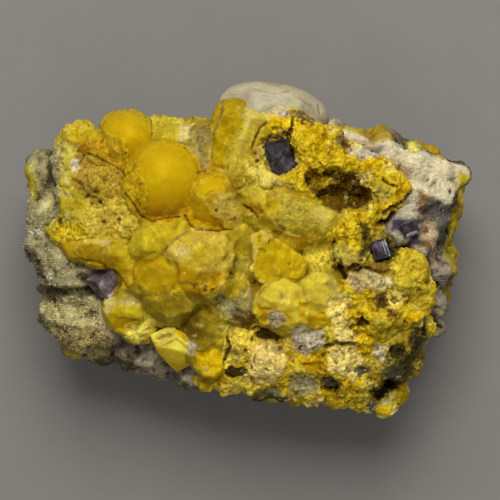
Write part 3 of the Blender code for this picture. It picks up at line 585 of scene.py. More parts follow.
# glassy round masses of the left, the middle and the back
glassyCrust = {
    "seed": 3,
    "voxel": 0.24,
    "coarse": 0.3,
    "ground": ("oliveGlass", [("lemonOlive", 0.8), ("amber", 0.5)]),
    "wander": [(1.6, 0.5), (0.5, 0.35)],
    "border": 0.4,
    "soft": 0.7,
    "warp": [(4, 0.6), (1.7, 0.3)],
    # places and radii, of the true balls and of the masses that run into each other
    "domes": [
        (-14.2, 11.2, 26.6, 7.6), (-20.2, 18, 25.6, 5), (-6.2, 8.1, 28.5, 5.2), (-3.4, 6.2, 29, 3.4),
        (-17.2, 9, 28.3, 3.9), (-12.5, -5.3, 26.3, 7.1),
    ],
    "lobes": [
        (-13, 3, 29.2, 3.4), (-16.8, 0.7, 30.6, 2.6), (-24.2, 16.3, 25.6, 3.6), (-19.8, 12.8, 26.4, 3.4),
        (-17.4, 16.4, 26, 3.4), (-12.4, 17.2, 26.6, 3.4), (-8, 14.8, 28, 3.4), (-10.2, 6.4, 28.6, 3.4),
        (-20.6, 9.4, 26.4, 3.4), (-8.2, 17.8, 26.4, 3.2), (-16.4, 5.4, 28, 3), (-9.4, 11.8, 28, 3.2),
        (-8.3, -0.6, 29.8, 5.6), (-14.2, -4.7, 28.6, 4.6), (-7.5, -4.4, 30.2, 4.4), (-28.6, 1.2, 26.6, 2.6),
        (-25.4, 0.4, 27.6, 2.7), (-21.9, -1.2, 28.6, 2.8), (-19.2, -4.6, 28.8, 3), (7.4, 2.2, 29, 2.6),
        (10.6, 1.8, 28.8, 2.4), (-12, -8.4, 26.6, 4.2), (-15.6, -8, 26.4, 3.2), (-7.4, -12.8, 26.4, 3.9),
        (-6.7, -18.4, 24.8, 3), (-20.8, -10, 26.8, 3.3), (-21.8, -8.2, 27, 2), (-18.4, -12.6, 25.2, 2.6),
        (1.2, 7.6, 29.8, 3), (4.6, 7.6, 30, 3.2), (8.3, 5.8, 30.2, 3.2), (11.7, 4.6, 30, 3),
        (13.3, 6, 29.8, 2.6), (4.8, -8, 29.2, 4.4), (8.6, -8.4, 28.8, 3.4), (11.7, -5.8, 29.2, 3.3),
        (11.3, -1.7, 29.8, 2.5), (13.6, -8.2, 28.4, 3.1), (6.6, -11.2, 27.6, 2.8), (11.2, -10.4, 27.6, 2.8),
        (2.3, -9.4, 29, 2.6), (1, 19.8, 28.6, 3), (0.2, 15.6, 29.2, 2.6), (-2.5, -6.7, 28, 3),
        (-0.6, -8.6, 28.2, 2.3), (-4.2, -9.4, 27.4, 2.4), (-1.6, -11, 26.8, 2.3), (-3, 21.9, 27.4, 3),
        (-3.2, 18.3, 29, 3.3), (-2.5, 14.2, 29.4, 3.2), (-0.8, 11.2, 29.8, 2.8), (-0.8, 2.5, 27.4, 3.8),
        (-3, 0, 27.4, 2.8), (2.2, 4, 28, 2.7), (-1, -2.6, 27.4, 2.6), (-9, -15.4, 24.8, 2.6),
    ],
    # middle and reach of a faceted mass, then its faces: a point on each and its slopes along x and y
    "facets": [
        ((-8.6, -0.4, 6.4), [(-8, 0.4, 34.3, -0.04, 0.02), (-7, -5.2, 32.9, -0.25, 0.55),
            (-11.6, 2, 33.4, 0.35, -0.45)]),
        ((-15.4, -4, 4.4), [(-14.6, -3.4, 32.6, 0.2, 0.12), (-17.4, -3.2, 31.6, 0.8, 0.1),
            (-14.4, -6.6, 31.9, 0.1, 0.5)]),
        ((-2.6, 18.4, 6.6), [(-3.4, 20, 30.2, 0.22, -0.1), (0.4, 19, 30.6, -0.3, 0.12)]),
        ((-20.6, -10.2, 3.9), [(-19.8, -8.8, 29.6, 0.04, 0.25), (-22.2, -9.6, 29, 0.6, 0.1),
            (-19.8, -11.6, 28.6, -0.1, 0.75)]),
        ((-7.6, -12.6, 4.2), [(-6.4, -12, 29.4, -0.15, 0.4), (-9.2, -12.6, 28.6, 0.7, 0.1)]),
        ((-6.7, -18.6, 3.4), [(-6.6, -17.8, 27.2, 0.1, 0.35), (-7.4, -20, 26.4, 0.3, 0.8),
            (-5, -19.4, 26.6, -0.7, 0.3)]),
        ((5.2, -8.2, 5), [(4.4, -7.2, 33, 0.05, 0.25), (7.4, -8.6, 32.2, -0.45, 0.2),
            (4, -10.8, 31.8, 0.1, 0.9)]),
        ((11.6, -6.6, 4.4), [(10.6, -5.6, 32, 0.1, 0.15), (13.6, -6.6, 31.2, -0.5, 0.3),
            (11.4, -9.6, 30.6, 0.1, 0.6)]),
        ((7.6, 6.6, 5.6), [(8, 6.8, 32.6, 0.02, -0.08), (7.6, 3.6, 31.9, 0, 0.5)]),
    ],
    # line, width, depth and finish of each furrow
    "seams": [
        ([(-27.5, 16.2), (-25.5, 15.4), (-24, 14.6), (-22.5, 13.9), (-21, 13),
            (-20.5, 12.2)], 0.32, 0.2, "brownOlive"),
        ([(-20.4, 9.2), (-18.8, 7), (-17.8, 5.6), (-16, 4.7), (-14, 5.2), (-11.4, 5.4)], 0.3, 0.2, "rust"),
        ([(-10.6, 5.6), (-9.8, 4.2), (-8.8, 3.4), (-7, 3.3), (-5, 3.2), (-3.6, 3.4)], 0.28, 0.18, "rust"),
        ([(-24.6, 20.2), (-24, 18.8), (-21.4, 18.2), (-20.7, 16.5),
            (-20.6, 14.4)], 0.25, 0.05, "goldShade"),
        ([(-8.6, 12.6), (-7.4, 13.2), (-5.6, 13.9), (-4.2, 13.3)], 0.28, 0.15, "rustOrange"),
        ([(-4.6, 24.4), (-4.6, 22.4), (-5.6, 20.2), (-6.4, 17.6), (-6.2, 15)], 0.35, 0, "tanCream"),
        ([(-13.9, -0.2), (-12.5, 1.4), (-10.4, 2.9), (-9, 3.3)], 0.4, 0.1, "lemonCream"),
        ([(-11.2, -12.9), (-9.8, -11), (-8.2, -9.6)], 0.5, 0.35, "oliveShade"),
        ([(-1, 7.3), (0, 6.6), (1.2, 5.5)], 0.3, 0.35, "umber"),
        ([(2.6, 20.8), (1.6, 19.9), (1, 18.6), (0.5, 17.4), (0.3, 16.6)], 0.28, 0.25, "umber"),
        ([(3.4, 5.9), (4.2, 4.8), (5.1, 3.7), (6.4, 2.9), (8.2, 2.5)], 0.35, 0, "lemonCream"),
        ([(0.8, -8.6), (1.4, -7), (3, -5.5), (4.8, -4.4), (6.8, -4.7), (8.4, -6.4), (9.5, -8.4),
            (9.2, -10.6)], 0.25, 0, "lemonBright"),
        ([(9.2, -4.6), (11, -3.8), (13, -4.3), (15, -6.2), (16.5, -8.8),
            (15.4, -10.6)], 0.3, 0, "lemonBright"),
        ([(12.4, -5.4), (12.8, -7.4), (14.2, -9)], 0.2, 0, "lemonBright"),
        ([(-5.3, -6.4), (-4.4, -5), (-2.6, -4.5), (-0.8, -4.9), (-0.2, -6.4),
            (-0.8, -7.6)], 0.2, 0, "lemonBright"),
        ([(-27.5, -1.4), (-24, -2.2), (-21.6, -3.8), (-20.2, -6)], 0.4, 0.15, "goldShade"),
    ],
    "dots": {
        "black": [(-8.9, -6, 0.3), (-7.2, -6, 0.3), (-7.4, -6.6, 0.3), (-6.1, -6.4, 0.3), (-3.2, -3.8, 0.4),
            (-5.6, 6.5, 0.25), (-3.4, 8.2, 0.25), (-2.6, 5.2, 0.25)],
        "rustOrange": [(-23, 15.7, 0.5), (-18.3, 8.2, 0.6), (-18.4, 6.6, 0.7), (-17.6, 10.7, 0.4)],
        "lemonGlass": [(-9.6, -1.4, 2, 0.6), (-5.4, -0.4, 1.7, 0.5), (-10.2, 2, 1.2, 0.5)],
        "cream": [(-0.3, 20.6, 0.7, 0.7), (-1.5, 18.4, 0.6, 0.6), (-4.6, 8.8, 0.6, 0.6),
            (-7.2, -19.8, 0.8, 0.5), (-10.4, -0.7, 0.9, 0.5)],
    },
}

# crumbly crust: left rim and back, then the right-hand field, which becomes three pieces
crumblyRim = {
    "seed": 5,
    "voxel": 0.22,
    "coarse": 0.35,
    "ground": ("sugarYellow", [("lemonOlive", 0.8), ("lemonGold", 0.6)]),
    "wander": [(1.6, 0.5), (0.5, 0.5)],
    "border": 0.5,
    "soft": 0.8,
    "warp": [(4, 1.4), (1.7, 0.5)],
    "crumbs": 1500,
    "lobes": [
        (-25, 10.8, 25.4, 4.2), (-24.2, 5.8, 26, 3.6), (-19.8, 7.4, 25.6, 3), (-29.2, 8.2, 26, 2.9),
        (-29.9, 17, 25.4, 2.3), (-30, 14.2, 26.6, 2.2), (-29.6, 11.3, 26.8, 2.2), (-20, 4.4, 27, 3.1),
        (-27.4, 3.6, 26.4, 2.9), (-30.2, 2.8, 25.6, 2.6), (-27.5, 18.4, 25, 2.4), (-14.2, 19.1, 25.6, 2.4),
        (-16.8, 19.6, 25, 2), (-9.4, 18.4, 25, 2.5), (-8.2, 19, 24.6, 2.2), (-10.6, 16.6, 25.2, 2.8),
    ],
    "dots": {
        "umber": [(-31.3, 4.7, 0.7), (-24.5, 7.8, 0.6), (-24, 4.8, 0.5), (-21.5, 5, 0.5), (-26.4, 9, 0.5)],
        "white": [(-30, 11.1, 0.5, 0.7), (-31, 9.4, 0.5, 0.7), (-29.9, 9.2, 0.4, 0.7),
            (-29.8, 5.6, 0.5, 0.6)],
    },
}
crumblyField = {
    "seed": 8,
    "voxel": 0.22,
    "coarse": 0.35,
    "ground": ("yellow", [("paleYellow", 0.7), ("yellowOlive", 0.8)]),
    "wander": [(1.6, 0.7), (0.5, 0.7)],
    "border": 0.6,
    "soft": 0.7,
    "warp": [(4, 1.4), (1.7, 0.6)],
    "crumbs": 1500,
    # from which y to which y each piece reaches
    "bands": {"crumblyBack": (3.3, 90), "crumblyRight": (-12.6, 3.3), "crumblyFront": (-90, -12.6)},
    "lobes": [
        (1.6, 15, 29.8, 2), (3.2, 11.4, 30, 2.6), (6.9, 10.6, 30.2, 2.6), (10, 16.4, 29.6, 2.9),
        (9.2, 19.4, 28.4, 2.5), (12.5, 18, 28.2, 2.6), (13.3, 14.8, 29.4, 2.6), (16.7, 15.2, 28.4, 2.4),
        (20, 13.6, 28.6, 2.6), (22.5, 11.4, 28.8, 2.7), (24.4, 9.6, 28.2, 2.1), (20.9, 8.2, 29.4, 2.4),
        (10.4, 9.4, 29.8, 2.4), (18.7, 5.8, 29.4, 2.3), (15.8, 4.2, 30, 2.9), (12.6, 11.6, 27, 2),
        (6.8, 20.4, 28.4, 2.5), (3.6, 20.6, 28.4, 2.4), (9.8, 12.8, 29.4, 2.2), (16.8, 12.6, 26, 3),
        (16.4, 9.2, 23.8, 3.4), (12.6, 10.8, 25.8, 3), (19.4, 9.8, 25.4, 3), (13.4, 6.6, 28.6, 2.2),
        (18.3, 2.5, 29.6, 2.5), (25.8, -4.2, 27.4, 3.8), (23.2, -3, 28.2, 2.7), (20.8, -10.8, 27, 3.3),
        (16.2, -11.4, 27.4, 3.1), (23, -7.6, 27, 3), (25.8, -10, 26, 3.4), (27.6, -6.9, 26.6, 3),
        (15.6, -0.4, 30, 2.6), (20, -3.3, 28.8, 2.8), (19.2, -6.7, 28.2, 3), (15.9, -5.8, 28.8, 2.6),
        (21.8, 2.2, 27.4, 2.4), (27.8, -12.4, 23.8, 2.6), (1.7, -22.2, 21.2, 2.7), (5.8, -22.4, 21.2, 2.9),
        (-2.8, -22.6, 20.8, 2.1), (-7.5, -21.5, 20.6, 2), (16.6, -23.8, 19.8, 2.2), (13.4, -14, 26.4, 2.9),
        (18.3, -14.8, 25.8, 3.2), (18.3, -21.4, 21.6, 3), (14.2, -22.3, 21.4, 2.6),
        (25.3, -23.8, 17.2, 2.1), (19.4, -24.4, 19.2, 2.1), (-3.6, -20.6, 21.6, 2.2),
        (10, -18.9, 24.2, 3.1), (15, -18.2, 24.2, 3.3), (-0.8, -15.4, 25.4, 2.8), (-4.4, -14.4, 25.2, 2.2),
        (24, -14.6, 24.2, 3.6), (21.7, -18.2, 23.2, 3), (9.4, -14.6, 26, 3), (25.4, -18.6, 21.4, 2.7),
        (10, -22.8, 20.8, 2.7), (5, -18.2, 24.4, 3.2), (1.7, -18.2, 24.8, 2.9), (22.4, -25.1, 17.6, 2.5),
        (-2.3, -17.6, 24.2, 2.5), (0.2, -13.6, 26, 2.1), (8.2, -14.2, 26.4, 2.4), (-4.6, -17.8, 23.4, 2),
    ],
    # place and radii of each hollow
    "hollows": [
        ((14.4, 8.8, 30.8), (3.2, 2.2, 3.6)), ((17.6, 8.6, 31), (2.3, 2.4, 5.2)),
        ((16.6, 11.3, 31), (2, 1.7, 3.6)), ((10.2, 11.4, 31.2), (1.4, 1.7, 1.7)),
        ((13.4, 12.6, 30.8), (1.6, 1, 2.4)), ((12.2, 8.2, 30.8), (1.5, 1.2, 3)),
        ((3.4, -13.7, 28.4), (2.7, 1.2, 4.2)), ((-2.4, -20.2, 25.4), (2, 1, 4)),
        ((14.6, -3.4, 31.8), (0.9, 1.8, 2)), ((13.3, -22.5, 24.4), (1.7, 1.4, 2.8)),
        ((23.8, -8.2, 30.2), (0.9, 0.8, 1.2)), ((21.5, -8.4, 30.4), (1.3, 1.2, 1.6)),
        ((18.4, -12, 30.2), (1.1, 1, 1.8)), ((24.2, -16.8, 26.6), (1.3, 1.2, 1.8)),
    ],
    "seams": [
        ([(26.6, 9.4), (25, 8), (23.4, 6.9), (22, 6)], 0.5, 0.7, "umber"),
        ([(13.2, 1), (12.9, -0.5), (13.7, -2.2), (15, -3.2), (18, -3.3)], 0.7, 0.6, "umber"),
        ([(13.8, -2.8), (15.4, -4.4)], 0.6, 0.8, "black"),
        ([(21.8, 11.6), (22.6, 10.9), (23.5, 10.4)], 0.4, 0.4, "umber"),
        ([(7.1, 21.8), (7, 20.5), (6.5, 19.5)], 0.4, 0.4, "umber"),
        ([(12.4, -16), (14, -15.4), (17.2, -15.6)], 0.6, 0.5, "umber"),
        ([(29, -11.4), (29.1, -12.4), (28.6, -14.2)], 0.5, 0.6, "black"),
        ([(17, -2.6), (19.6, -3.1), (22.2, -3.6)], 0.5, 0.4, "umber"),
        ([(-4.2, -13.4), (-3.4, -16), (-4.6, -19)], 0.5, 0.4, "umber"),
    ],
    "dots": {
        "umber": [(14.6, 18.4, 0.6), (15.2, 17.4, 0.6), (16, 17.2, 0.5), (1.3, 17.9, 0.5), (2.3, 16.9, 0.5),
            (0.8, 15.9, 0.5), (1.2, 14.7, 0.5), (9.9, -15.5, 0.4), (8.2, -16.1, 0.4), (8.3, -13, 0.4),
            (-0.8, -16.5, 0.4), (22.9, -9.9, 0.5), (25.7, -8.4, 0.6)],
        "rustOrange": [(12, 18.8, 0.7), (13, 16.8, 0.6), (13.2, 15.2, 0.6), (9.6, 12.6, 0.9),
            (19.4, 13.6, 0.8)],
        "white": [(22.8, -4.8, 0.6, 0.7), (20.2, -3.7, 0.6, 0.7), (11.6, -25, 0.8, 0.6),
            (9.7, -21.6, 0.7, 0.6)],
        "violet": [(23.6, 3.9, 0.6)],
    },
}
# what every piece of the crust shares: sizes in mm, and how ragged its spots are
crust = {
    "coarsening": 1.3,  # the first, rougher joining of the lobes
    "crumbSizes": (0.2, 0.52),
    "cloud": 2.2,
    "cloudBorders": (0.0, 0.3),
    "ragged": (0.5, 0.3),
}
# where crystals stand in the crust, it sinks away: place and radii of each hollow
crystalHollows = [
    ((4.8, 15.5, 32.2), (2.9, 3.5, 4.4)),
    ((21.7, -0.2, 31.4), (2.5, 2.2, 3.4)),
    ((-23.9, -5.4, 30.4), (3.1, 3, 4)),
]

# where each finish of the crust shows, seen from above: later outlines lie over earlier ones
crustRegions = [
    ("mustard", [(-28.5, 16.2), (-25, 15), (-22, 13.2), (-20.6, 12), (-20.8, 9.5), (-21.5, 7.8), (-27, 7.4),
        (-29.3, 11)]),
    ("oliveTan", [(-28.4, 15.6), (-26, 14.8), (-25.6, 11), (-26.4, 8.8), (-28.4, 10)]),
    ("lemonGold", [(-32, 18), (-29, 19.9), (-26, 20.4), (-24, 20.4), (-26.5, 18), (-28.5, 18),
        (-30.3, 18)]),
    ("gold", [(-24.6, 20.4), (-22, 22.9), (-20, 23.4), (-18, 22.7), (-16.4, 20.5), (-16, 18.2),
        (-16.8, 16.4), (-18.5, 14.4), (-20, 13), (-20.6, 14.5), (-20.6, 16.5), (-21.4, 18.2), (-23.5, 19)]),
    ("goldShade", [(-20.6, 17.6), (-18.6, 17.8), (-16.2, 17.4), (-18, 14.8), (-20, 12.8)], 0.9),
    ("brokenGold", [(-27, 17.6), (-24.5, 18.9), (-21.2, 18.4), (-20.2, 16.5), (-20.2, 14), (-20.8, 12.4),
        (-22, 13.4), (-24.5, 14.9), (-27.2, 16.2)]),
    # orange-brown painted shade at the left end of the crest
    ("rustOrange", [(-29, 17.6), (-27.2, 18), (-26.4, 17.2), (-27, 15.8), (-28.5, 16.3)], 0.6),
    ("lemonCream", [(-31.8, 17.6), (-30.5, 18.2), (-29.3, 17.4), (-28.6, 16.5), (-29.4, 15.2),
        (-29.8, 13.8), (-29.8, 12), (-30.8, 11.2), (-31.1, 13.5), (-31.2, 15.5)]),
    ("white", [(-29.4, 15), (-28.2, 14.8), (-28, 13.2), (-28.8, 12.8), (-29.5, 13.8)], 0.35),
    ("lemon", [(-16.4, 22), (-13, 22.2), (-11.1, 20.4), (-11.1, 18), (-14.3, 17.8), (-16, 18.4)]),
    ("sugarYellow", [(-27, 7.6), (-24, 8.4), (-21, 8.6), (-20.2, 6.6), (-18.4, 4.6), (-17.6, 3.4),
        (-20, 2.2), (-23, 1.6), (-26, 1.2), (-28.4, 0.8), (-30, 1.4), (-31.6, 2.6), (-31.6, 4.2),
        (-28.4, 5)]),
    ("yellow", [(-31.6, 4.4), (-28, 4.6), (-26.4, 3), (-28.2, 1.2), (-30, 1.2), (-32.4, 2.4)]),
    ("lemonOlive", [(-32.4, 9.8), (-29, 9.8), (-27.2, 8.5), (-26.9, 7), (-28.3, 5.2), (-31.4, 4.9),
        (-32.7, 6.8)]),
    ("crumbGold", [(-20.6, 11.8), (-20.8, 9.6), (-19.6, 7.6), (-18.4, 6.4), (-17, 8), (-17.2, 10.6),
        (-18.6, 12.6), (-19.8, 13)], 0.8),
    ("cream", [(-25.8, 1.4), (-24, 1.9), (-22.9, 1.3), (-23.1, 0), (-24.2, 0.4)], 0.35),
    ("amber", [(-31, 1), (-28.6, 0.8), (-26, 0.5), (-24, 0.6), (-22, -0.6), (-20, -2), (-18.8, -3),
        (-18.6, -6), (-20.4, -5.6), (-22, -3.8), (-24, -2.6), (-26, -3.4), (-27.6, -2.4), (-29, -1.4),
        (-31, -0.8)]),
    # painted shade under the end of the rib
    ("amberDark", [(-30.4, 0.2), (-28.4, 0), (-28.2, -1.2), (-29.8, -1.4)], 0.7),
    ("lemonGold", [(-22.4, 1.8), (-19.8, 0.2), (-18.6, -2.2), (-20.4, -2), (-22.4, -0.4)], 0.7),
    ("lemonGlass", [(-19, 2.4), (-16.4, 2.8), (-14.2, 0.6), (-15.2, -1.2), (-18, -1.1), (-19.6, 0.4)]),
    ("lemonGlass", [(-17.6, 4.6), (-13, 5.6), (-10.4, 4.6), (-11.4, 2), (-14, 0.4), (-16, 2.8)]),
    ("gold", [(-15.6, 17.5), (-13, 17.8), (-10.4, 16.9), (-8.2, 14.6), (-7.6, 12), (-8.4, 8.5), (-10.5, 6),
        (-13.5, 4.8), (-15.7, 4.4), (-17, 6), (-17, 8), (-17.2, 10.6), (-18.6, 12.6), (-17.5, 15.8)]),
    ("goldShade", [(-17, 9.4), (-12, 9.8), (-8, 10.6), (-8.4, 8.5), (-10.5, 6), (-13.5, 4.8),
        (-17, 5)], 2.2),
    # painted shade at the bottom rim of the big ball
    ("rustOrange", [(-18, 6.2), (-14, 6.8), (-10.6, 7.4), (-10.4, 6), (-13.5, 4.8), (-16.4, 4.4)], 0.9),
    ("tanCream", [(-11.6, 17.9), (-9.2, 16.7), (-7, 16.2), (-6.6, 13.4), (-7.8, 12), (-8.2, 14.4),
        (-9.6, 16.2)], 0.5),
    ("cream", [(-11.6, 20.8), (-9.6, 20.8), (-9, 19), (-10.2, 17.7), (-11.9, 17.9)]),
    ("greyOlive", [(-9.6, 20.6), (-7, 21), (-6.4, 18), (-7.4, 15.8), (-9, 16.4), (-10, 18)]),
    ("oliveGlass", [(-9.4, 21.6), (-6.6, 22), (-6.4, 20.7), (-9.2, 20.2)]),
    ("amber", [(-10.2, 8.2), (-9.2, 10.6), (-8, 12.2), (-6, 13.2), (-4.2, 12.4), (-3.8, 10), (-3.8, 8.6),
        (-2.4, 8.8), (-1.2, 7.4), (-1, 5), (-2, 3), (-4, 3.2), (-7.4, 3.3), (-9.6, 4), (-10.2, 6)]),
    ("gold", [(-8.6, 10.2), (-7, 12), (-5.4, 12.6), (-4, 12), (-3.8, 9.6), (-4.4, 8.4), (-6.8, 8.2),
        (-8.4, 8.6)], 0.9),
    ("goldShade", [(-9.8, 6.8), (-6, 7), (-4, 6), (-2, 5.6), (-2.2, 3.2), (-7, 3.5), (-9.6, 4.4)], 1),
    ("speckle", [(-5.8, 8.6), (-3, 9), (-1.4, 7.2), (-2, 4.4), (-3.8, 4.6), (-5.8, 6.2)], 1.3),
    ("oliveGlass", [(-18.8, -6.2), (-11, -6.6), (-9, -7.6), (-8.2, -9), (-11.4, -12.8), (-14, -12.2),
        (-16.8, -11), (-18.4, -8.6)]),
    ("amberGlass", [(-19, -1.2), (-14, -1), (-11, -2), (-10.4, -4), (-10.8, -6.8), (-16, -6.8),
        (-18.6, -5.2)]),
    # the boulder's front facet: amber with painted shade, as it faces away from the light
    ("amberDark", [(-11.2, -2.2), (-8, -3.1), (-4, -3.1), (-3.2, -4), (-5.2, -6.2), (-7.6, -7.6),
        (-9.6, -7.4), (-11, -6)]),
    ("rustOlive", [(-10.4, -5.2), (-7, -6.2), (-7.6, -8), (-9.4, -7.4)], 0.8),
    ("waxCream", [(-13.8, -0.2), (-12, 1.6), (-9.4, 3.2), (-6, 3.2), (-4, 2.4), (-2.7, 0), (-2.9, -2.4),
        (-4.4, -3.3), (-8, -3.3), (-10.4, -2.4), (-13, -1.3)]),
    ("lemonGlass", [(-9, 0.4), (-7.2, 0.6), (-6.8, -2.2), (-8.6, -2)], 0.6),
    ("cream", [(-12.8, 0), (-10, 0.4), (-9.6, -1.5), (-11.8, -1)], 0.5),
    ("floorOlive", [(-2.6, 3.2), (-1, 4.8), (1, 5.6), (3.4, 5.8), (5, 4.2), (6.6, 2.6), (6, 0), (0, -6),
        (-2, -5.4), (-3.2, -3.4), (-2.6, -1)]),
    ("paleGreen", [(-3, -0.9), (-0.6, -0.7), (0.3, -2.6), (-0.4, -4), (-2.8, -3.8)]),
    ("oliveShade", [(0, -4.2), (1.6, -5.4), (2.8, -6.4), (1, -7.2), (-0.6, -6)]),
    ("rustOrange", [(-1.1, 7.4), (0.4, 8), (1.7, 7.2), (2.6, 5.9), (1.2, 5.4), (-0.3, 6.4)]),
    ("goldOlive", [(-6.2, 23.4), (-4.6, 25), (-2.5, 24.8), (-0.6, 24.2), (-1.4, 20), (-2.4, 18), (-4, 14.5),
        (-4.6, 13), (-6, 14.4), (-6.4, 18.5)]),
    ("speckledLemon", [(-1.2, 24.2), (3, 22.8), (2.6, 20.4), (0.6, 17.5), (-0.6, 15), (-0.4, 13),
        (-2, 11.6), (-4.2, 12.6), (-4, 15), (-2.4, 18.4), (-1.2, 21)]),
    ("paleLemon", [(-0.4, 24), (2.8, 22.8), (2.4, 21), (0.8, 21.6), (-0.4, 20.2), (-1.2, 21.8)], 0.7),
    ("oliveShade", [(-2.2, 12.2), (0, 12), (3, 10.6), (4.8, 9.8), (2, 9.8), (-1, 10.4), (-3.6, 12.6)], 0.5),
    ("oliveShade", [(-3.9, 10.8), (-2.8, 10.7), (-2.7, 9.5), (-3.9, 9.2)], 0.35),
    ("orangeGold", [(2.8, 22), (4, 22.2), (6.4, 21.8), (6.6, 20), (4.4, 19.6), (2.8, 19.8)]),
    # painted shadow beside the dark fluorite cube
    ("umber", [(1.4, 18.2), (3, 19), (6.9, 19.3), (6.9, 18.4), (3, 18.1), (2.2, 17.4)], 0.35),
    ("brokenYellow", [(0.4, 16.8), (2.2, 18), (2.6, 15.2), (1.4, 14.2), (0.5, 15.4)]),
    ("speckledLemon", [(2.6, 10.4), (5, 10), (8, 8.4), (10, 7.8), (13, 6.8), (15.6, 6.8), (16, 5.8),
        (14.6, 4.4), (13.2, 2.6), (12, 3.2), (9.8, 3.4), (7.6, 3.8), (5.2, 4), (3.9, 5.8), (2, 6.8),
        (0.6, 8.4), (-2.4, 10.2), (0, 10.8)]),
    ("lemonGold", [(2, 8.4), (4.6, 8.2), (5.2, 6.2), (3.4, 5.8), (1.9, 6.8)], 0.6),
    ("sugarOlive", [(5.2, 8.2), (8.4, 7.6), (9.2, 5.4), (6, 4.8)], 0.7),
    ("paleLemon", [(10, 6.4), (12.6, 6.4), (13, 4.6), (11.4, 4)], 0.8),
    ("lemonBright", [(-0.8, 15), (1.4, 14), (3, 13.2), (4.6, 12.4), (4.8, 11.2), (2.6, 10.3), (0.8, 11.4),
        (-0.6, 13)]),
    ("oliveGlass", [(5.2, 4.2), (8, 3.7), (12, 3.4), (13.2, 1.8), (12.4, 0.4), (9.6, -0.4), (7.8, 0),
        (6.2, 1.4), (5, 3)]),
    ("rustOlive", [(5.8, 2.4), (8.6, 2.2), (10.8, 2), (10.6, 0.5), (9, -0.1), (7.6, 0.2)], 0.6),
    ("lemonCrumb", [(8.4, -0.4), (9.4, -0.6), (12, 0.3), (13.1, -0.4), (13.5, -2.6), (12, -3.6), (10, -3.8),
        (8.8, -2)]),
    ("lemonLobe", [(0.9, -8), (3, -5.9), (4.6, -4.6), (6.8, -4.8), (8.6, -6.8), (9.8, -8.6), (9, -10.8),
        (7, -12.8), (5.8, -12.2), (5, -10.6), (3.2, -10), (2, -11.8), (0.8, -10.8)]),
    ("gold", [(0.9, -8.4), (2.6, -9.2), (3.2, -11.6), (1.6, -12)], 0.6),
    ("lemonLobe", [(8.6, -4.8), (11, -4), (13, -4.6), (15, -6.6), (16.4, -9), (14, -10.8), (12, -12.4),
        (9, -12.6), (8, -10.6), (9.4, -8.4)]),
    ("paleLemon", [(12.8, -4.4), (14.2, -5.4), (16.4, -8.4), (15.6, -9.4), (13.6, -8)], 0.7),
    ("gold", [(2.2, -8.8), (4.4, -9.2), (6.6, -10.2), (6.8, -12), (4.8, -10.6), (2.8, -10.4)], 0.7),
    ("gold", [(8.2, -9.8), (10, -10.4), (12.2, -10), (12.8, -12), (10, -12.6), (8.4, -11.8)], 0.7),
    ("lemonBright", [(4.4, -7), (6, -6.8), (6.2, -8.6), (4.8, -8.8)], 0.7),
    ("orangeGold", [(8, -8.2), (9.4, -8.4), (9.2, -9.8), (8, -9.6)], 0.6),
    ("ash", [(3.1, -10.3), (4.8, -9.8), (5.8, -11.6), (4.4, -12.6), (3, -11.4)]),
    ("lemonGlass", [(-24, -8.4), (-22, -7.2), (-19.6, -7), (-18.2, -8.4), (-17, -10.4), (-17.4, -12.2),
        (-20, -13.2), (-22.6, -13.8), (-23.6, -12), (-23, -10.4)]),
    ("goldShade", [(-22.6, -11), (-20.6, -10.6), (-17.8, -11), (-18.2, -12.6), (-20, -13.4),
        (-23, -13.6)], 0.9),
    ("cream", [(-20.8, -7.7), (-19, -7.2), (-18, -8.9), (-19.4, -8.6), (-21.2, -8.7)], 0.5),
    ("cream", [(-24, -8), (-22.6, -7.4), (-21.8, -8.6), (-23, -10.2), (-24, -10)], 0.6),
    ("lemonSugar", [(-20.6, -13), (-16.8, -11), (-15.2, -11.8), (-15, -13.6), (-17, -14), (-18.6, -15.2),
        (-20.8, -14.4)]),
    ("oliveGlass", [(-10.8, -13), (-8, -9.8), (-6, -9.4), (-4.2, -10.4), (-4.2, -12), (-5.6, -13.4),
        (-6, -14.6), (-4.6, -15.8), (-6, -16.2), (-9, -15.6), (-10.4, -14.4)]),
    ("deepOlive", [(-10.8, -13), (-8.8, -10.6), (-7.6, -12), (-8.2, -15), (-9.8, -14.6)], 0.9),
    ("sugarOlive", [(-5, -11.8), (-3.6, -11.8), (-1.8, -13.4), (-3.4, -14), (-5.6, -13.2)]),
    ("ash", [(-10.4, -14.4), (-8.4, -15.8), (-9.4, -17.2), (-10.6, -16.2)]),
    ("orangeGold", [(-9, -16.4), (-5.2, -15.9), (-4.6, -18), (-3.8, -19.8), (-5.4, -21), (-7.6, -20.6),
        (-8.6, -18.4)]),
    ("rustOrange", [(-8, -20.8), (-5, -20.8), (-4.6, -22.2), (-7, -22)]),
    ("greyOlive", [(-5.6, -7.8), (-3, -5.6), (-0.4, -6.2), (0.6, -8.6), (0.8, -11), (-1, -12.8),
        (-3, -11.8), (-4.4, -10.6), (-5.8, -9.6)]),
    ("umberGrey", [(-4.2, -9.6), (-2, -9.4), (0.6, -10), (0.4, -11.6), (-1.2, -12.4), (-3, -11.6)]),
    ("floorOlive", [(-5.2, -5.6), (-3, -4.6), (-0.6, -5), (-0.3, -7), (-2, -7.7), (-4.6, -7.6)], 0.4),
    ("paleOlive", [(-1.9, -6.8), (0.2, -6.6), (0.7, -9), (-0.8, -10.2), (-2.1, -8.6)], 0.3),
    ("slatePale", [(-4.7, -8.4), (-3.4, -7.9), (-2.2, -8.6), (-2, -10.6), (-3.2, -11.2), (-4.6, -10)], 0.4),
    ("umber", [(-1.8, -11.2), (1, -10.8), (1.6, -13.2), (-0.8, -13.6)], 0.5),
    ("yellow", [(6.7, 22.3), (10.5, 21.3), (12, 20.4), (14.5, 18.2), (16.2, 16.6), (18, 15.2), (22.6, 16.2),
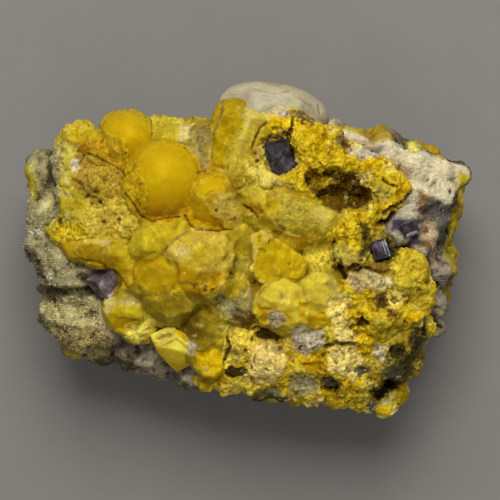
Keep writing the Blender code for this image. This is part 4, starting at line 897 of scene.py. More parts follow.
        (22.2, 14.2), (23, 12.2), (26, 11.6), (27.4, 10.4), (22, 5.6), (20.4, 6.4), (19.6, 9.4), (19, 12),
        (13, 13.4), (11, 13.4), (8.4, 14), (8.6, 11.6), (10.6, 9), (8, 9.4), (5.6, 11.8), (7, 12.6),
        (8.2, 14.6), (6.6, 16)]),
    ("deepYellow", [(8.4, 20.6), (11.6, 20.4), (13, 18), (12, 16.2), (9.6, 17.2), (8.2, 18.6)], 0.9),
    ("deepYellow", [(16, 14.6), (20.8, 15.2), (22, 14.2), (20, 13.4), (16.6, 13.4)], 0.5),
    ("sugarOlive", [(20.4, 11.2), (23, 10), (23.2, 8.4), (21, 7.8), (19.8, 9.2)], 0.6),
    ("goldShade", [(24.4, 10.6), (27, 10.4), (25.2, 8.2), (23.6, 7.4), (23.6, 9.4)], 0.6),
    ("paleYellow", [(17, 12.8), (19.8, 12.8), (19.6, 11), (17.6, 11)], 0.5),
    # painted shade in the hollow
    ("hollowBrown", [(8.9, 13.2), (11.5, 13.1), (13.5, 12.7), (17, 12.9), (17.6, 11.4), (19.4, 10.8),
        (19.6, 9.6), (20.3, 8.4), (19.2, 6.9), (16, 6.2), (13, 6.5), (11.4, 7.8), (9.8, 10), (8.7, 11.8)]),
    ("shadeYellow", [(9.8, 12.4), (12.6, 12.3), (13.8, 10.9), (11.8, 9.9), (10, 10.4)]),
    ("yellow", [(13.1, 2.5), (15.2, 5.6), (17.5, 6.6), (20, 6.4), (21.8, 6.2), (21.4, 4.4), (20.6, 3.8),
        (18, 3.5), (18.2, 1), (17.2, -1.6), (15, 1)]),
    # painted shade in the crumb field
    ("oliveBrown", [(17.8, 5.8), (18.2, 1.4), (17.2, -2), (19.4, -1), (20, 1.4), (21, 3.6), (22.4, 2.8),
        (24.2, 1.5), (25, 0), (23, -2.4), (20, -2.6), (22, 2), (19.6, 3.2)]),
    ("sugarOlive", [(13, 0.7), (14, 1.2), (16, 0.6), (17.2, -0.6), (17.4, -2.1), (15, -2.2), (13.4, -1.2)]),
    # brown crescent under the granular lump: painted shade
    ("brownOlive", [(12.8, -0.6), (13.6, -1.6), (15, -2.3), (17.4, -2.2), (20, -2.2), (23.4, -2.2),
        (23.4, -3.6), (22, -4), (20, -3.3), (18, -3.1), (16.6, -3.8), (15.4, -4.5), (13.6, -3)]),
    ("lemonYellow", [(23.3, -1.6), (25.6, -0.7), (29.2, -1.5), (29.4, -4.4), (28.6, -5.6), (26.4, -6.8),
        (22.6, -6.6), (22, -5.4), (23.6, -4.4), (23.1, -3)]),
    ("amber", [(28, -2.4), (29.4, -2), (29.4, -5.4), (28, -5.4)], 0.5),
    ("yellowOlive", [(25.4, -6.6), (28.8, -5.4), (30, -8), (29.2, -10.4), (27, -9), (25.3, -7.6)]),
    ("paleSugar", [(17, -3.1), (19, -2.9), (22, -4.4), (23.4, -4.4), (23.2, -6.2), (21.4, -7), (19.4, -6),
        (18.2, -4.8)]),
    ("tan", [(15.4, -4.3), (17, -4), (19, -5.8), (17.6, -6.6), (16, -6.2)]),
    ("yellow", [(14, -4.9), (15.8, -4.7), (16.6, -6.2), (18, -6.8), (19.8, -6.2), (20.4, -7.4),
        (20.2, -9.2), (18, -9.4), (16.6, -8), (14.6, -6.4)]),
    ("lemonPale", [(22.4, -6.6), (24.8, -7), (25, -9), (23, -9.6), (22.6, -8)]),
    ("brownPit", [(20.4, -7.8), (22.3, -7.4), (23, -8.4), (22.4, -9.6), (20.8, -10)], 0.4),
    ("paleYellow", [(12.6, -8), (16.4, -8.2), (15.8, -9.6), (15.2, -11), (16.2, -13), (17.4, -13.6),
        (17.2, -15.8), (14.2, -16), (13.6, -12.4), (12.6, -10)]),
    ("yellow", [(16, -10), (17.6, -8.6), (20.4, -9.6), (22, -10.4), (24, -9.8), (26.4, -9.4), (26.4, -11.8),
        (24, -12), (21, -11.8), (18.4, -10.6), (16.2, -11.6)]),
    ("umber", [(17.2, -10.8), (18.8, -10.8), (19.8, -12.6), (18, -13), (17, -12)], 0.4),
    ("brownPit", [(22.4, -9.4), (24.2, -9.8), (23.6, -11), (22, -10.8)], 0.35),
    ("yellowOlive", [(20, -11.3), (24, -10.8), (26, -11.6), (25, -14), (22, -15), (20, -13.8)]),
    ("orangeGold", [(26, -10), (28.4, -10.8), (27.6, -12.2), (25.8, -12)], 0.5),
    ("oliveGlass", [(23.8, -12.2), (27.2, -12.2), (28.4, -14.4), (27.6, -17.8), (25.2, -16.2),
        (23.4, -14.8)]),
    ("umberGrey", [(23, -15.4), (25, -15.6), (25.8, -17), (27, -18.2), (24.6, -18.6), (23.2, -17)]),
    ("deepYellow", [(17.4, -12.8), (20, -13), (21.8, -15.2), (20.6, -16.6), (20.4, -18.6), (18.6, -18.2),
        (17.6, -16)]),
    ("paleYellow", [(12.8, -16.4), (15.4, -15.7), (17.6, -16.3), (18.4, -18), (17.6, -19.2), (19, -19.4),
        (18.6, -21.4), (16, -21.8), (13.8, -20.6), (12.6, -18.4)]),
    ("white", [(20.5, -15.4), (21.8, -15.8), (23, -17.2), (22.6, -18.8), (21.4, -18.2), (20.5, -17)]),
    ("sugarOlive", [(20.4, -18.4), (22.2, -18.8), (22.2, -20.4), (21, -20.4)]),
    ("oliveRock", [(21.6, -16.9), (24.8, -17.3), (28.4, -17), (28.6, -20.2), (24.4, -19.8), (22, -18.9)]),
    ("slateFacet", [(22.2, -19.5), (25.4, -19.4), (27.2, -20.4), (25.6, -22.2), (23, -22), (22, -20.8)]),
    ("black", [(19.8, -22.4), (22.6, -21.7), (25.6, -22.4), (24, -24), (22.4, -24.7), (20.4, -25.2),
        (19.8, -23.6)]),
    ("lemonPowder", [(-4.6, -14.6), (-3, -13.2), (-0.6, -13.4), (1.1, -12), (1.4, -13.8), (0.8, -15),
        (0.4, -17), (-1.4, -18), (-2.4, -19.6), (-4.4, -19.2), (-4.6, -17)]),
    ("speckle", [(-3.5, -16.2), (-1.6, -16.6), (-1.9, -18.2), (-3.3, -18)], 0.4),
    ("sand", [(0.6, -15.2), (5, -15.2), (5.8, -18), (5.8, -20.4), (4, -21.8), (2, -22.2), (0.2, -21.8),
        (-1.2, -20.6), (-0.4, -18.6), (0.4, -17.2)]),
    ("lemonPowder", [(-5.6, -22.4), (-3, -22.2), (1, -21.7), (2.4, -22.4), (0.8, -24), (-1, -25.2),
        (-3.2, -24.4)]),
    ("yellow", [(-9, -21.2), (-7, -21.6), (-6.2, -23.2), (-8, -23.2)]),
    ("ash", [(6.6, -12.8), (8.4, -12.5), (12.2, -12.8), (12.6, -15.4), (10.6, -16.6), (8.6, -17.2),
        (6.8, -15.8)]),
    ("darkOliveRock", [(26.8, -12.4), (29.8, -12.6), (29.2, -16.7), (27.2, -20.3), (25.8, -22.5),
        (24.6, -20.4), (26.6, -17.6), (26.4, -14.6)], 0.6),
    ("umberGrey", [(6.6, 22.6), (8.6, 23), (10.6, 21.6), (11.4, 20.6), (9.6, 20.9), (7.4, 21.7)], 0.4),
    ("ash", [(1.5, 23.6), (4.5, 23.4), (6.6, 22.6), (5, 22), (2.4, 22.6)], 0.4),
    ("lemonCrumb", [(12.4, -12.4), (13.8, -12), (14, -15.4), (12.8, -16.2), (12.3, -14.4)], 0.4),
    ("orangeGold", [(5.8, -15.4), (7, -17), (9, -17.6), (11, -16.8), (12.8, -16.2), (12.6, -17.3),
        (10, -18.6), (8.2, -18.6), (6.2, -17.4)]),
    ("goldShade", [(8, -18.2), (11, -17.8), (12.8, -18.6), (12.6, -20.6), (10, -20.8), (8.2, -19.8)]),
    ("yellow", [(4.2, -21), (6.3, -20.4), (7, -22.4), (6, -23.8), (4.2, -22.8)]),
    ("slatePale", [(6.5, -20.7), (8.3, -20.9), (9.4, -20.5), (11.1, -21), (10.9, -23.7), (9, -24.2),
        (6.9, -23)]),
    ("deepYellow", [(12, -19.4), (14.4, -20.8), (17, -21.8), (19, -20.2), (18.8, -22), (17, -23.6),
        (15.6, -24.4), (14.8, -22.4), (12.8, -20.6)]),
    ("darkRed", [(12.1, -21.2), (13, -20.9), (15.1, -22.6), (14.3, -23.9), (13.2, -23.5),
        (11.9, -21.9)], 0.3),
    ("amber", [(11.8, -24), (14.6, -24), (16, -24.4), (15.6, -25.6), (13.4, -26), (12, -25.2)]),
    ("yellowOlive", [(17.8, -22.4), (20, -22.8), (20.2, -24.6), (18.6, -25.4), (17.4, -24.6)]),
    ("darkOliveRock", [(0, -24), (2, -23.2), (4, -22.6), (5.8, -24), (7, -25), (5.6, -26.8), (3, -26.8),
        (0.6, -25.6)]),
    ("slateBlue", [(0.2, -24.9), (2.4, -25), (2.8, -26.4), (1.2, -26.2)]),
    ("slatePale", [(3.3, -22.8), (4.6, -22.9), (5.6, -24.2), (4.4, -24.6)], 0.4),
    ("slateFacet", [(19.4, -25.4), (21.4, -25.2), (22, -26.6), (21.4, -28), (19.8, -27)]),
    ("cream", [(22, -25.8), (23.6, -24.2), (24.5, -24.8), (23.4, -26), (22.6, -26.6)]),
    ("orangeGold", [(21.2, -26.4), (23.4, -26), (23.6, -27.4), (21.8, -28)]),
    ("goldOlive", [(24.6, -23.4), (26.4, -22.4), (26.9, -25), (26.1, -26.5), (24.8, -26.5), (24.5, -24.6)]),
    ("oliveGlass", [(27.2, -19.7), (29.3, -19.8), (29, -21.6), (26.8, -22.2)]),
    ("yellow", [(12.3, 2.8), (13.8, 3.2), (14.6, 1.8), (13.8, 1), (12.3, 1.2)], 0.4),
    ("umberGrey", [(14, 19), (15.4, 18.9), (17, 17.2), (16.3, 16.2), (15, 16.8)], 0.4),
    ("ash", [(16.2, 16.6), (18, 17), (21.4, 16.1), (21, 15.2), (18, 15.2), (16.5, 15.7)], 0.4),
    ("sugar", [(-34, 18), (-31.5, 17.2), (-31.1, 14), (-31.3, 10), (-31.7, 5.6), (-34, 4)], 0.5),
]


def scatterCrumbs(obj, count, sizes, hollows, seed, allowed=None):
    # small lobes sitting on the upper skin of the piece
    points, normals = readPoints(obj), readNormals(obj)
    free = normals[:, 2] > -0.2
    if allowed is not None:
        free &= allowed(points)
    for middle, radii in hollows:
        free &= ((points - list(middle)) ** 2 / np.array(radii) ** 2).sum(1) > 1.0
    chosen = np.flatnonzero(free)
    dice = random.Random(seed)
    crumbs = []
    for _ in range(count):
        i = chosen[dice.randrange(len(chosen))]
        size = dice.uniform(*sizes)
        at = points[i] - normals[i] * size * dice.uniform(0.1, 0.7)
        crumbs.append((*at.tolist(), size))
    bm = bmesh.new()
    bm.from_mesh(obj.data)
    addLobes(bm, crumbs, 2)
    bm.to_mesh(obj.data)
    bm.free()


def growCrust(name, shape, lobes, material, seed):
    domes = shape.get("domes", [])
    bm = bmesh.new()
    addLobes(bm, lobes + domes)
    obj = newPiece(name, bm, material)
    fuse(obj, shape["voxel"] * crust["coarsening"])
    points = readPoints(obj)
    blendLobes(points, lobes, shape["soft"], warpOf(points, shape["warp"], seed), domes)
    cutFacets(points, shape.get("facets", ()))
    pressHollows(points, [*shape.get("hollows", ()), *crystalHollows])
    writePoints(obj, points)
    if "crumbs" in shape:
        scatterCrumbs(obj, shape["crumbs"], crust["crumbSizes"], crystalHollows, seed)
    fuse(obj, shape["voxel"])
    points = readPoints(obj)
    ground, clouds = shape["ground"]
    finish = plainFinish(points, ground)
    for number, (tone, share) in enumerate(clouds):
        cloudSeed = seed + 20 + number
        finish = cloudTone(finish, points, tone, crust["cloud"], cloudSeed, crust["cloudBorders"], share)
    paintRegions(finish, points + warpOf(points, shape["wander"], seed + 3), crustRegions, shape["border"])
    paintSpots(finish, ragged(points, *crust["ragged"], seed), shape["dots"])
    finishSurface(obj, finish, seed, shape.get("seams", ()), shape["coarse"])
    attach(obj, "root")
    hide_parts("smithsonite_crust")
    print(name, 2 * len(obj.data.polygons), "triangles")


print("crust")
growCrust("glassyCrust", glassyCrust, glassyCrust["lobes"], glassyFinish, glassyCrust["seed"])
growCrust("crumblyRim", crumblyRim, crumblyRim["lobes"], crumblyFinish, crumblyRim["seed"])
for number, (name, (low, high)) in enumerate(crumblyField["bands"].items()):
    band = [lobe for lobe in crumblyField["lobes"] if low <= lobe[1] < high]
    growCrust(name, crumblyField, band, crumblyFinish, crumblyField["seed"] + number)

# comb: a thin plate whose rim swells into scales
comb = {
    "seed": 12,
    "voxel": 0.15,
    "smoothing": 6,
    "ragged": (1.0, 0.3),
    "cloud": ("lemonGlass", 1.6, 13, (0.0, 0.4), 0.35),
    "coarse": 0.15,
    "flatness": 0.36,
    "baseFlatness": 0.7,
    "top": (33.9, -0.17, 0.12),  # height of the plate's face in the middle, and its slopes
    # the pale rim: how far inside the outline, how strong, and where it fades to the right
    "rim": (-0.5, -0.05),
    "rimShare": 0.5,
    "rimFades": (-5.5, -2.5),
    "scales": [
        (1, 1.7, 0.85), (2, 1.9, 0.75), (3, 1.3, 0.85), (4.3, 1, 0.8), (5.5, 0.3, 0.85), (1.5, 0.7, 0.9),
        (1.4, -0.4, 0.8), (1.2, -1.5, 0.75), (1.3, -2.4, 0.8), (0.6, -3, 0.75), (1.4, -3.9, 0.75),
        (2, -4.7, 0.75), (3, -4.8, 0.8), (4.1, -4.2, 0.85), (5.4, -3.6, 1.4), (6.7, -3.9, 1.5),
        (7.4, -3.4, 1.7), (7.3, -1.9, 1.6), (6.4, -1.2, 1.4), (2.8, -0.2, 1.6), (2.9, -2.2, 1.8),
        (3.6, -3.2, 1.6), (4.6, -1, 1.9), (5.2, -2.6, 2), (6.6, -2.6, 2.1), (2.6, 0.6, 1.2), (1.8, -1.2, 1),
        (6.3, -1.8, 1.7),
    ],
    "bases": [(4.3, -1.8, 31, 3.4), (6.6, -2.8, 30.6, 2.8), (2.8, -0.4, 31, 2.4), (3, -3.4, 30.8, 2.3)],
    "outline": [
        (0.5, 2.4), (1.9, 2.6), (3.3, 1.9), (4.5, 1.7), (5.9, 0.8), (6.6, 0.3), (8.7, -0.4), (8.9, -4.6),
        (7.7, -5.7), (4.5, -4.8), (2.8, -5.5), (1.7, -5.3), (1, -4.6), (0.7, -3.9), (-0.2, -3.6),
        (-0.2, -2.5), (0.7, -2.2), (0.5, -1.1), (1, -0.2), (0.7, 0.8),
    ],
    "dots": {
        "rustOrange": [(6.3, -2.2, 0.3), (6.6, 0.5, 0.3)],
        "lemonBright": [(0.2, -3, 0.6, 0.6), (2.2, 1.6, 0.7, 0.5), (3.9, -2.6, 0.4, 0.5)],
    },
}


def growComb(shape):
    high, alongX, alongY = shape["top"]
    flatness = shape["flatness"]
    scales = [(x, y, high + alongX * x + alongY * y - flatness * radius, radius, flatness)
              for x, y, radius in shape["scales"]]
    bm = bmesh.new()
    addLobes(bm, scales + [(*base, shape["baseFlatness"]) for base in shape["bases"]])
    obj = newPiece("combOfScales", bm, glassyFinish)
    fuse(obj, shape["voxel"])
    points = smoothSkin(obj, shape["smoothing"])
    inside = insideBy(ragged(points, *shape["ragged"], shape["seed"]), shape["outline"])
    rim = ramp(-inside, *shape["rim"])[:, None] * shape["rimShare"] * ramp(-points[:, :1], *shape["rimFades"])
    finish = mixTone(plainFinish(points, "combYellow"), "rimCream", rim)
    finish = cloudTone(finish, points, *shape["cloud"])
    paintSpots(finish, points, shape["dots"])
    finishSurface(obj, finish, shape["seed"], (), shape["coarse"])
    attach(obj, "root")
    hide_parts("smithsonite_crust")


print("comb")
growComb(comb)

# the angular crystal that leans over the front left slope: corners of its ridge, its back edge and its foot
blade = {
    "seed": 21,
    "voxel": 0.12,
    "smoothing": 1,
    "ragged": (0.8, 0.2),
    "coarse": 0.25,
    "creviceRounds": 4,
    "corners": [
        (-16.5, -14, 27.6), (-13.5, -12.6, 28.4), (-11.4, -13.2, 28.2), (-10.4, -14.6, 27.8),
        (-9.6, -16.2, 27), (-15.4, -15.9, 27.4), (-12, -16.6, 27.5), (-9, -17.8, 26.2), (-9.2, -18.8, 24.4),
        (-12.2, -20.3, 23.4), (-14, -18.5, 24.6), (-15.4, -16.8, 26), (-16.5, -14.2, 23.6),
        (-13.6, -12.6, 23.4), (-10.6, -14.2, 23), (-9.4, -17, 21.6), (-12.2, -20.1, 20), (-15.6, -16, 21),
    ],
    "regions": [
        ("bladeLemon", [(-17, -14), (-13.5, -12), (-11, -12.8), (-9.8, -15), (-9, -17.4), (-12, -16.3),
            (-15.6, -15.6)]),
        ("orangeGold", [(-12.2, -12.6), (-11.2, -13), (-10, -15), (-10.5, -15.4), (-11.8, -14.2),
            (-12.4, -13.4)], 0.5),
        ("lemonCream", [(-15.6, -14.6), (-13.4, -13.4), (-12.4, -14), (-14.6, -15.2)], 0.6),
        ("goldShade", [(-14.4, -18), (-12, -18.8), (-9.6, -18.6), (-12.2, -20.4)], 0.8),
    ],
}


def growBlade(shape):
    bm = bmesh.new()
    for corner in shape["corners"]:
        bm.verts.new(Vector(corner) * mm)
    inner = bmesh.ops.convex_hull(bm, input=bm.verts)["geom_interior"]
    inner = [item for item in inner if isinstance(item, bmesh.types.BMVert)]
    bmesh.ops.delete(bm, geom=inner, context="VERTS")
    obj = newPiece("leaningCrystal", bm, glassyFinish)
    fuse(obj, shape["voxel"])
    points = smoothSkin(obj, shape["smoothing"])
    finish = plainFinish(points, "bladeGold")
    paintRegions(finish, ragged(points, *shape["ragged"], shape["seed"] + 1), shape["regions"])
    finishSurface(obj, finish, shape["seed"], (), shape["coarse"], shape["creviceRounds"])
    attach(obj, "root")
    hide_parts("smithsonite_crust")


print("crystal")
growBlade(blade)

# patches of crust on the sides
patches = {
    "seed": 30,
    "voxel": 0.35,
    "smoothing": {"amber": 14, "other": 8},
    "swell": [(5.0, 1.7), (2.0, 0.9)],
    "sunk": 0.1,
    "clouds": [("mustard", 3.0, (-0.1, 0.4), 1.0), ("yellow", 2.0, (0.0, 0.4), 0.7),
               ("umberGrey", 1.4, (0.1, 0.4), 0.6)],
    "amberClouds": 0.3,  # the amber patches are less cloudy
    "tones": {
        "smithsonite_patch_back": "oliveGlass", "smithsonite_patch_back_right": "amber",
        "smithsonite_patch_right": "lemonOlive", "smithsonite_patch_front_right": "amber",
        "smithsonite_patch_front": "lemonOlive", "smithsonite_patch_front_left": "oliveGlass",
        "smithsonite_patch_left": "lemonOlive",
    },
}


def nodeMesh(node):
    # a copy of the node's mesh, with its loose triangles joined
    bm = bmesh.new()
    bm.from_mesh(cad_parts[node].data)
    bmesh.ops.remove_doubles(bm, verts=bm.verts, dist=0.005 * mm)
    return bm


def growPatch(shape, node, tone, seed):
    name = "side" + node.removeprefix("smithsonite_patch_").title().replace("_", "")
    obj = newPiece(name, nodeMesh(node), glassyFinish)
    fuse(obj, shape["voxel"])
    points = smoothSkin(obj, shape["smoothing"].get(tone, shape["smoothing"]["other"]))
    swell = sum(waves(points, size, seed + 40 + number) * height
                for number, (size, height) in enumerate(shape["swell"]))
    points += readNormals(obj) * (swell - shape["sunk"])[:, None]
    writePoints(obj, points)
    finish = plainFinish(points, tone)
    for number, (other, size, borders, share) in enumerate(shape["clouds"]):
        share *= shape["amberClouds"] if tone == "amber" else 1.0
        finish = cloudTone(finish, points, other, size, seed + number, borders, share)
    finishSurface(obj, finish, seed)
    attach(obj, "root")
    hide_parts(node)


print("side patches")
for number, (node, tone) in enumerate(patches["tones"].items()):
    growPatch(patches, node, tone, patches["seed"] + number)

# the rock underneath
hostRock = {
    "seed": 70,
    "crumbSeed": 41,
    "regionSeed": 68,
    "voxel": 0.42,
    "smoothing": 2,
    "coarse": 0.4,
    "clouds": [("darkRock", 5, 66, (-0.15, 0.35), 1), ("oliveRock", 7, 67, (0.12, 0.4), 0.7)],
    "wander": [(1.6, 0.5), (0.6, 0.2)],
    "ragged": (0.6, 0.25),
    "crumbs": (0.5, 1.5),  # sizes of the lumps on the knobs
    "crumbReach": 0.6,  # how far from a knob they may sit
    "sawn": 0.45,  # what is lower than this lies in the sawn base
    "upward": (-0.1, 0.35),  # how steep the skin is where the patches of the upper side begin and are full
    "waves": [(6, 0.5, 61), (2.4, 0.34, 62), (1.1, 0.18, 63)],
    "knobs": [
        (-34, 13.2, 21.6, 3), (-33.2, 10, 22.6, 2.6), (-33.7, 5.8, 22.4, 2.8), (-34, 0.4, 21.6, 3),
        (-31.6, -2.4, 22.8, 3.6), (-29, -5, 23.6, 3), (-28.3, -11.7, 20.2, 4.5), (-24.2, -12.4, 22, 3),
        (-31.5, -10.2, 19, 3.2), (-25, -15.6, 17, 3.2), (-29, -15.4, 14.5, 2.6), (-19, -16.6, 18, 2.8),
        (-15, -18.2, 17.6, 2.6), (-10.2, -20.6, 18, 2.2),
    ],
    "knobCount": 950,
    "lumps": [
        (14.2, 20, 26, 1.9), (17.5, 17.8, 26.4, 2.4), (22.5, 16.4, 26.4, 3), (26.7, 14, 26, 3.7),
        (30.8, 12.4, 25.4, 3.4), (34.4, 12.6, 24.4, 2.5), (31.7, 9.2, 25.6, 2.8), (27.5, 9.2, 26.8, 3),
        (30, 5, 25.2, 3), (25.5, 4.8, 27.3, 2.8), (24.2, 2.6, 27.6, 2.4), (28.3, 1, 26, 2.6),
        (30.8, -4, 23.8, 2.4), (31, -9, 22.4, 2.2), (31.2, -13, 20.2, 1.8),
    ],
    "seams": [
        ([(-33.5, -6.6), (-31, -7.2), (-27, -6.8), (-25.5, -6.3)], 1, 0.8, "mossSugar"),
        ([(20.4, 5.6), (22, 6.2), (24, 7.6), (26.2, 9.6)], 0.5, 0.5, "umber"),
        ([(30.2, -5.6), (31, -5.9)], 0.6, 0.6, "black"),
        ([(29.6, -9.2), (30.8, -9.6)], 0.5, 0.5, "black"),
        ([(31, -12.2), (32.2, -12.8)], 0.6, 0.6, "black"),
        ([(-27.9, -4.2), (-27, -4.9)], 1, 0.6, "mossSugar"),
        ([(-33.4, 14.8), (-33, 13), (-33.2, 10.8)], 0.8, 0.5, "mossSugar"),
    ],
    "dots": {
        "black": [(-18.8, -17.2, 0.4), (30.7, -6, 0.5), (29.2, 11.5, 0.4), (31.9, 11.3, 0.4),
            (32.8, 9.6, 0.5)],
        "rust": [(-33.2, -1.2, 0.6, 0.5), (-34.6, 12.4, 0.6, 0.4), (28.6, 8.4, 0.5), (29.2, 0.8, 0.6),
            (30.3, -1, 0.5)],
        "white": [(-36.2, 3.3, 0.8, 0.6), (-33.6, 7.6, 0.7, 0.6), (-33.2, -4.4, 0.7, 0.6),
            (28.8, 15.9, 0.7, 0.7)],
    },
}

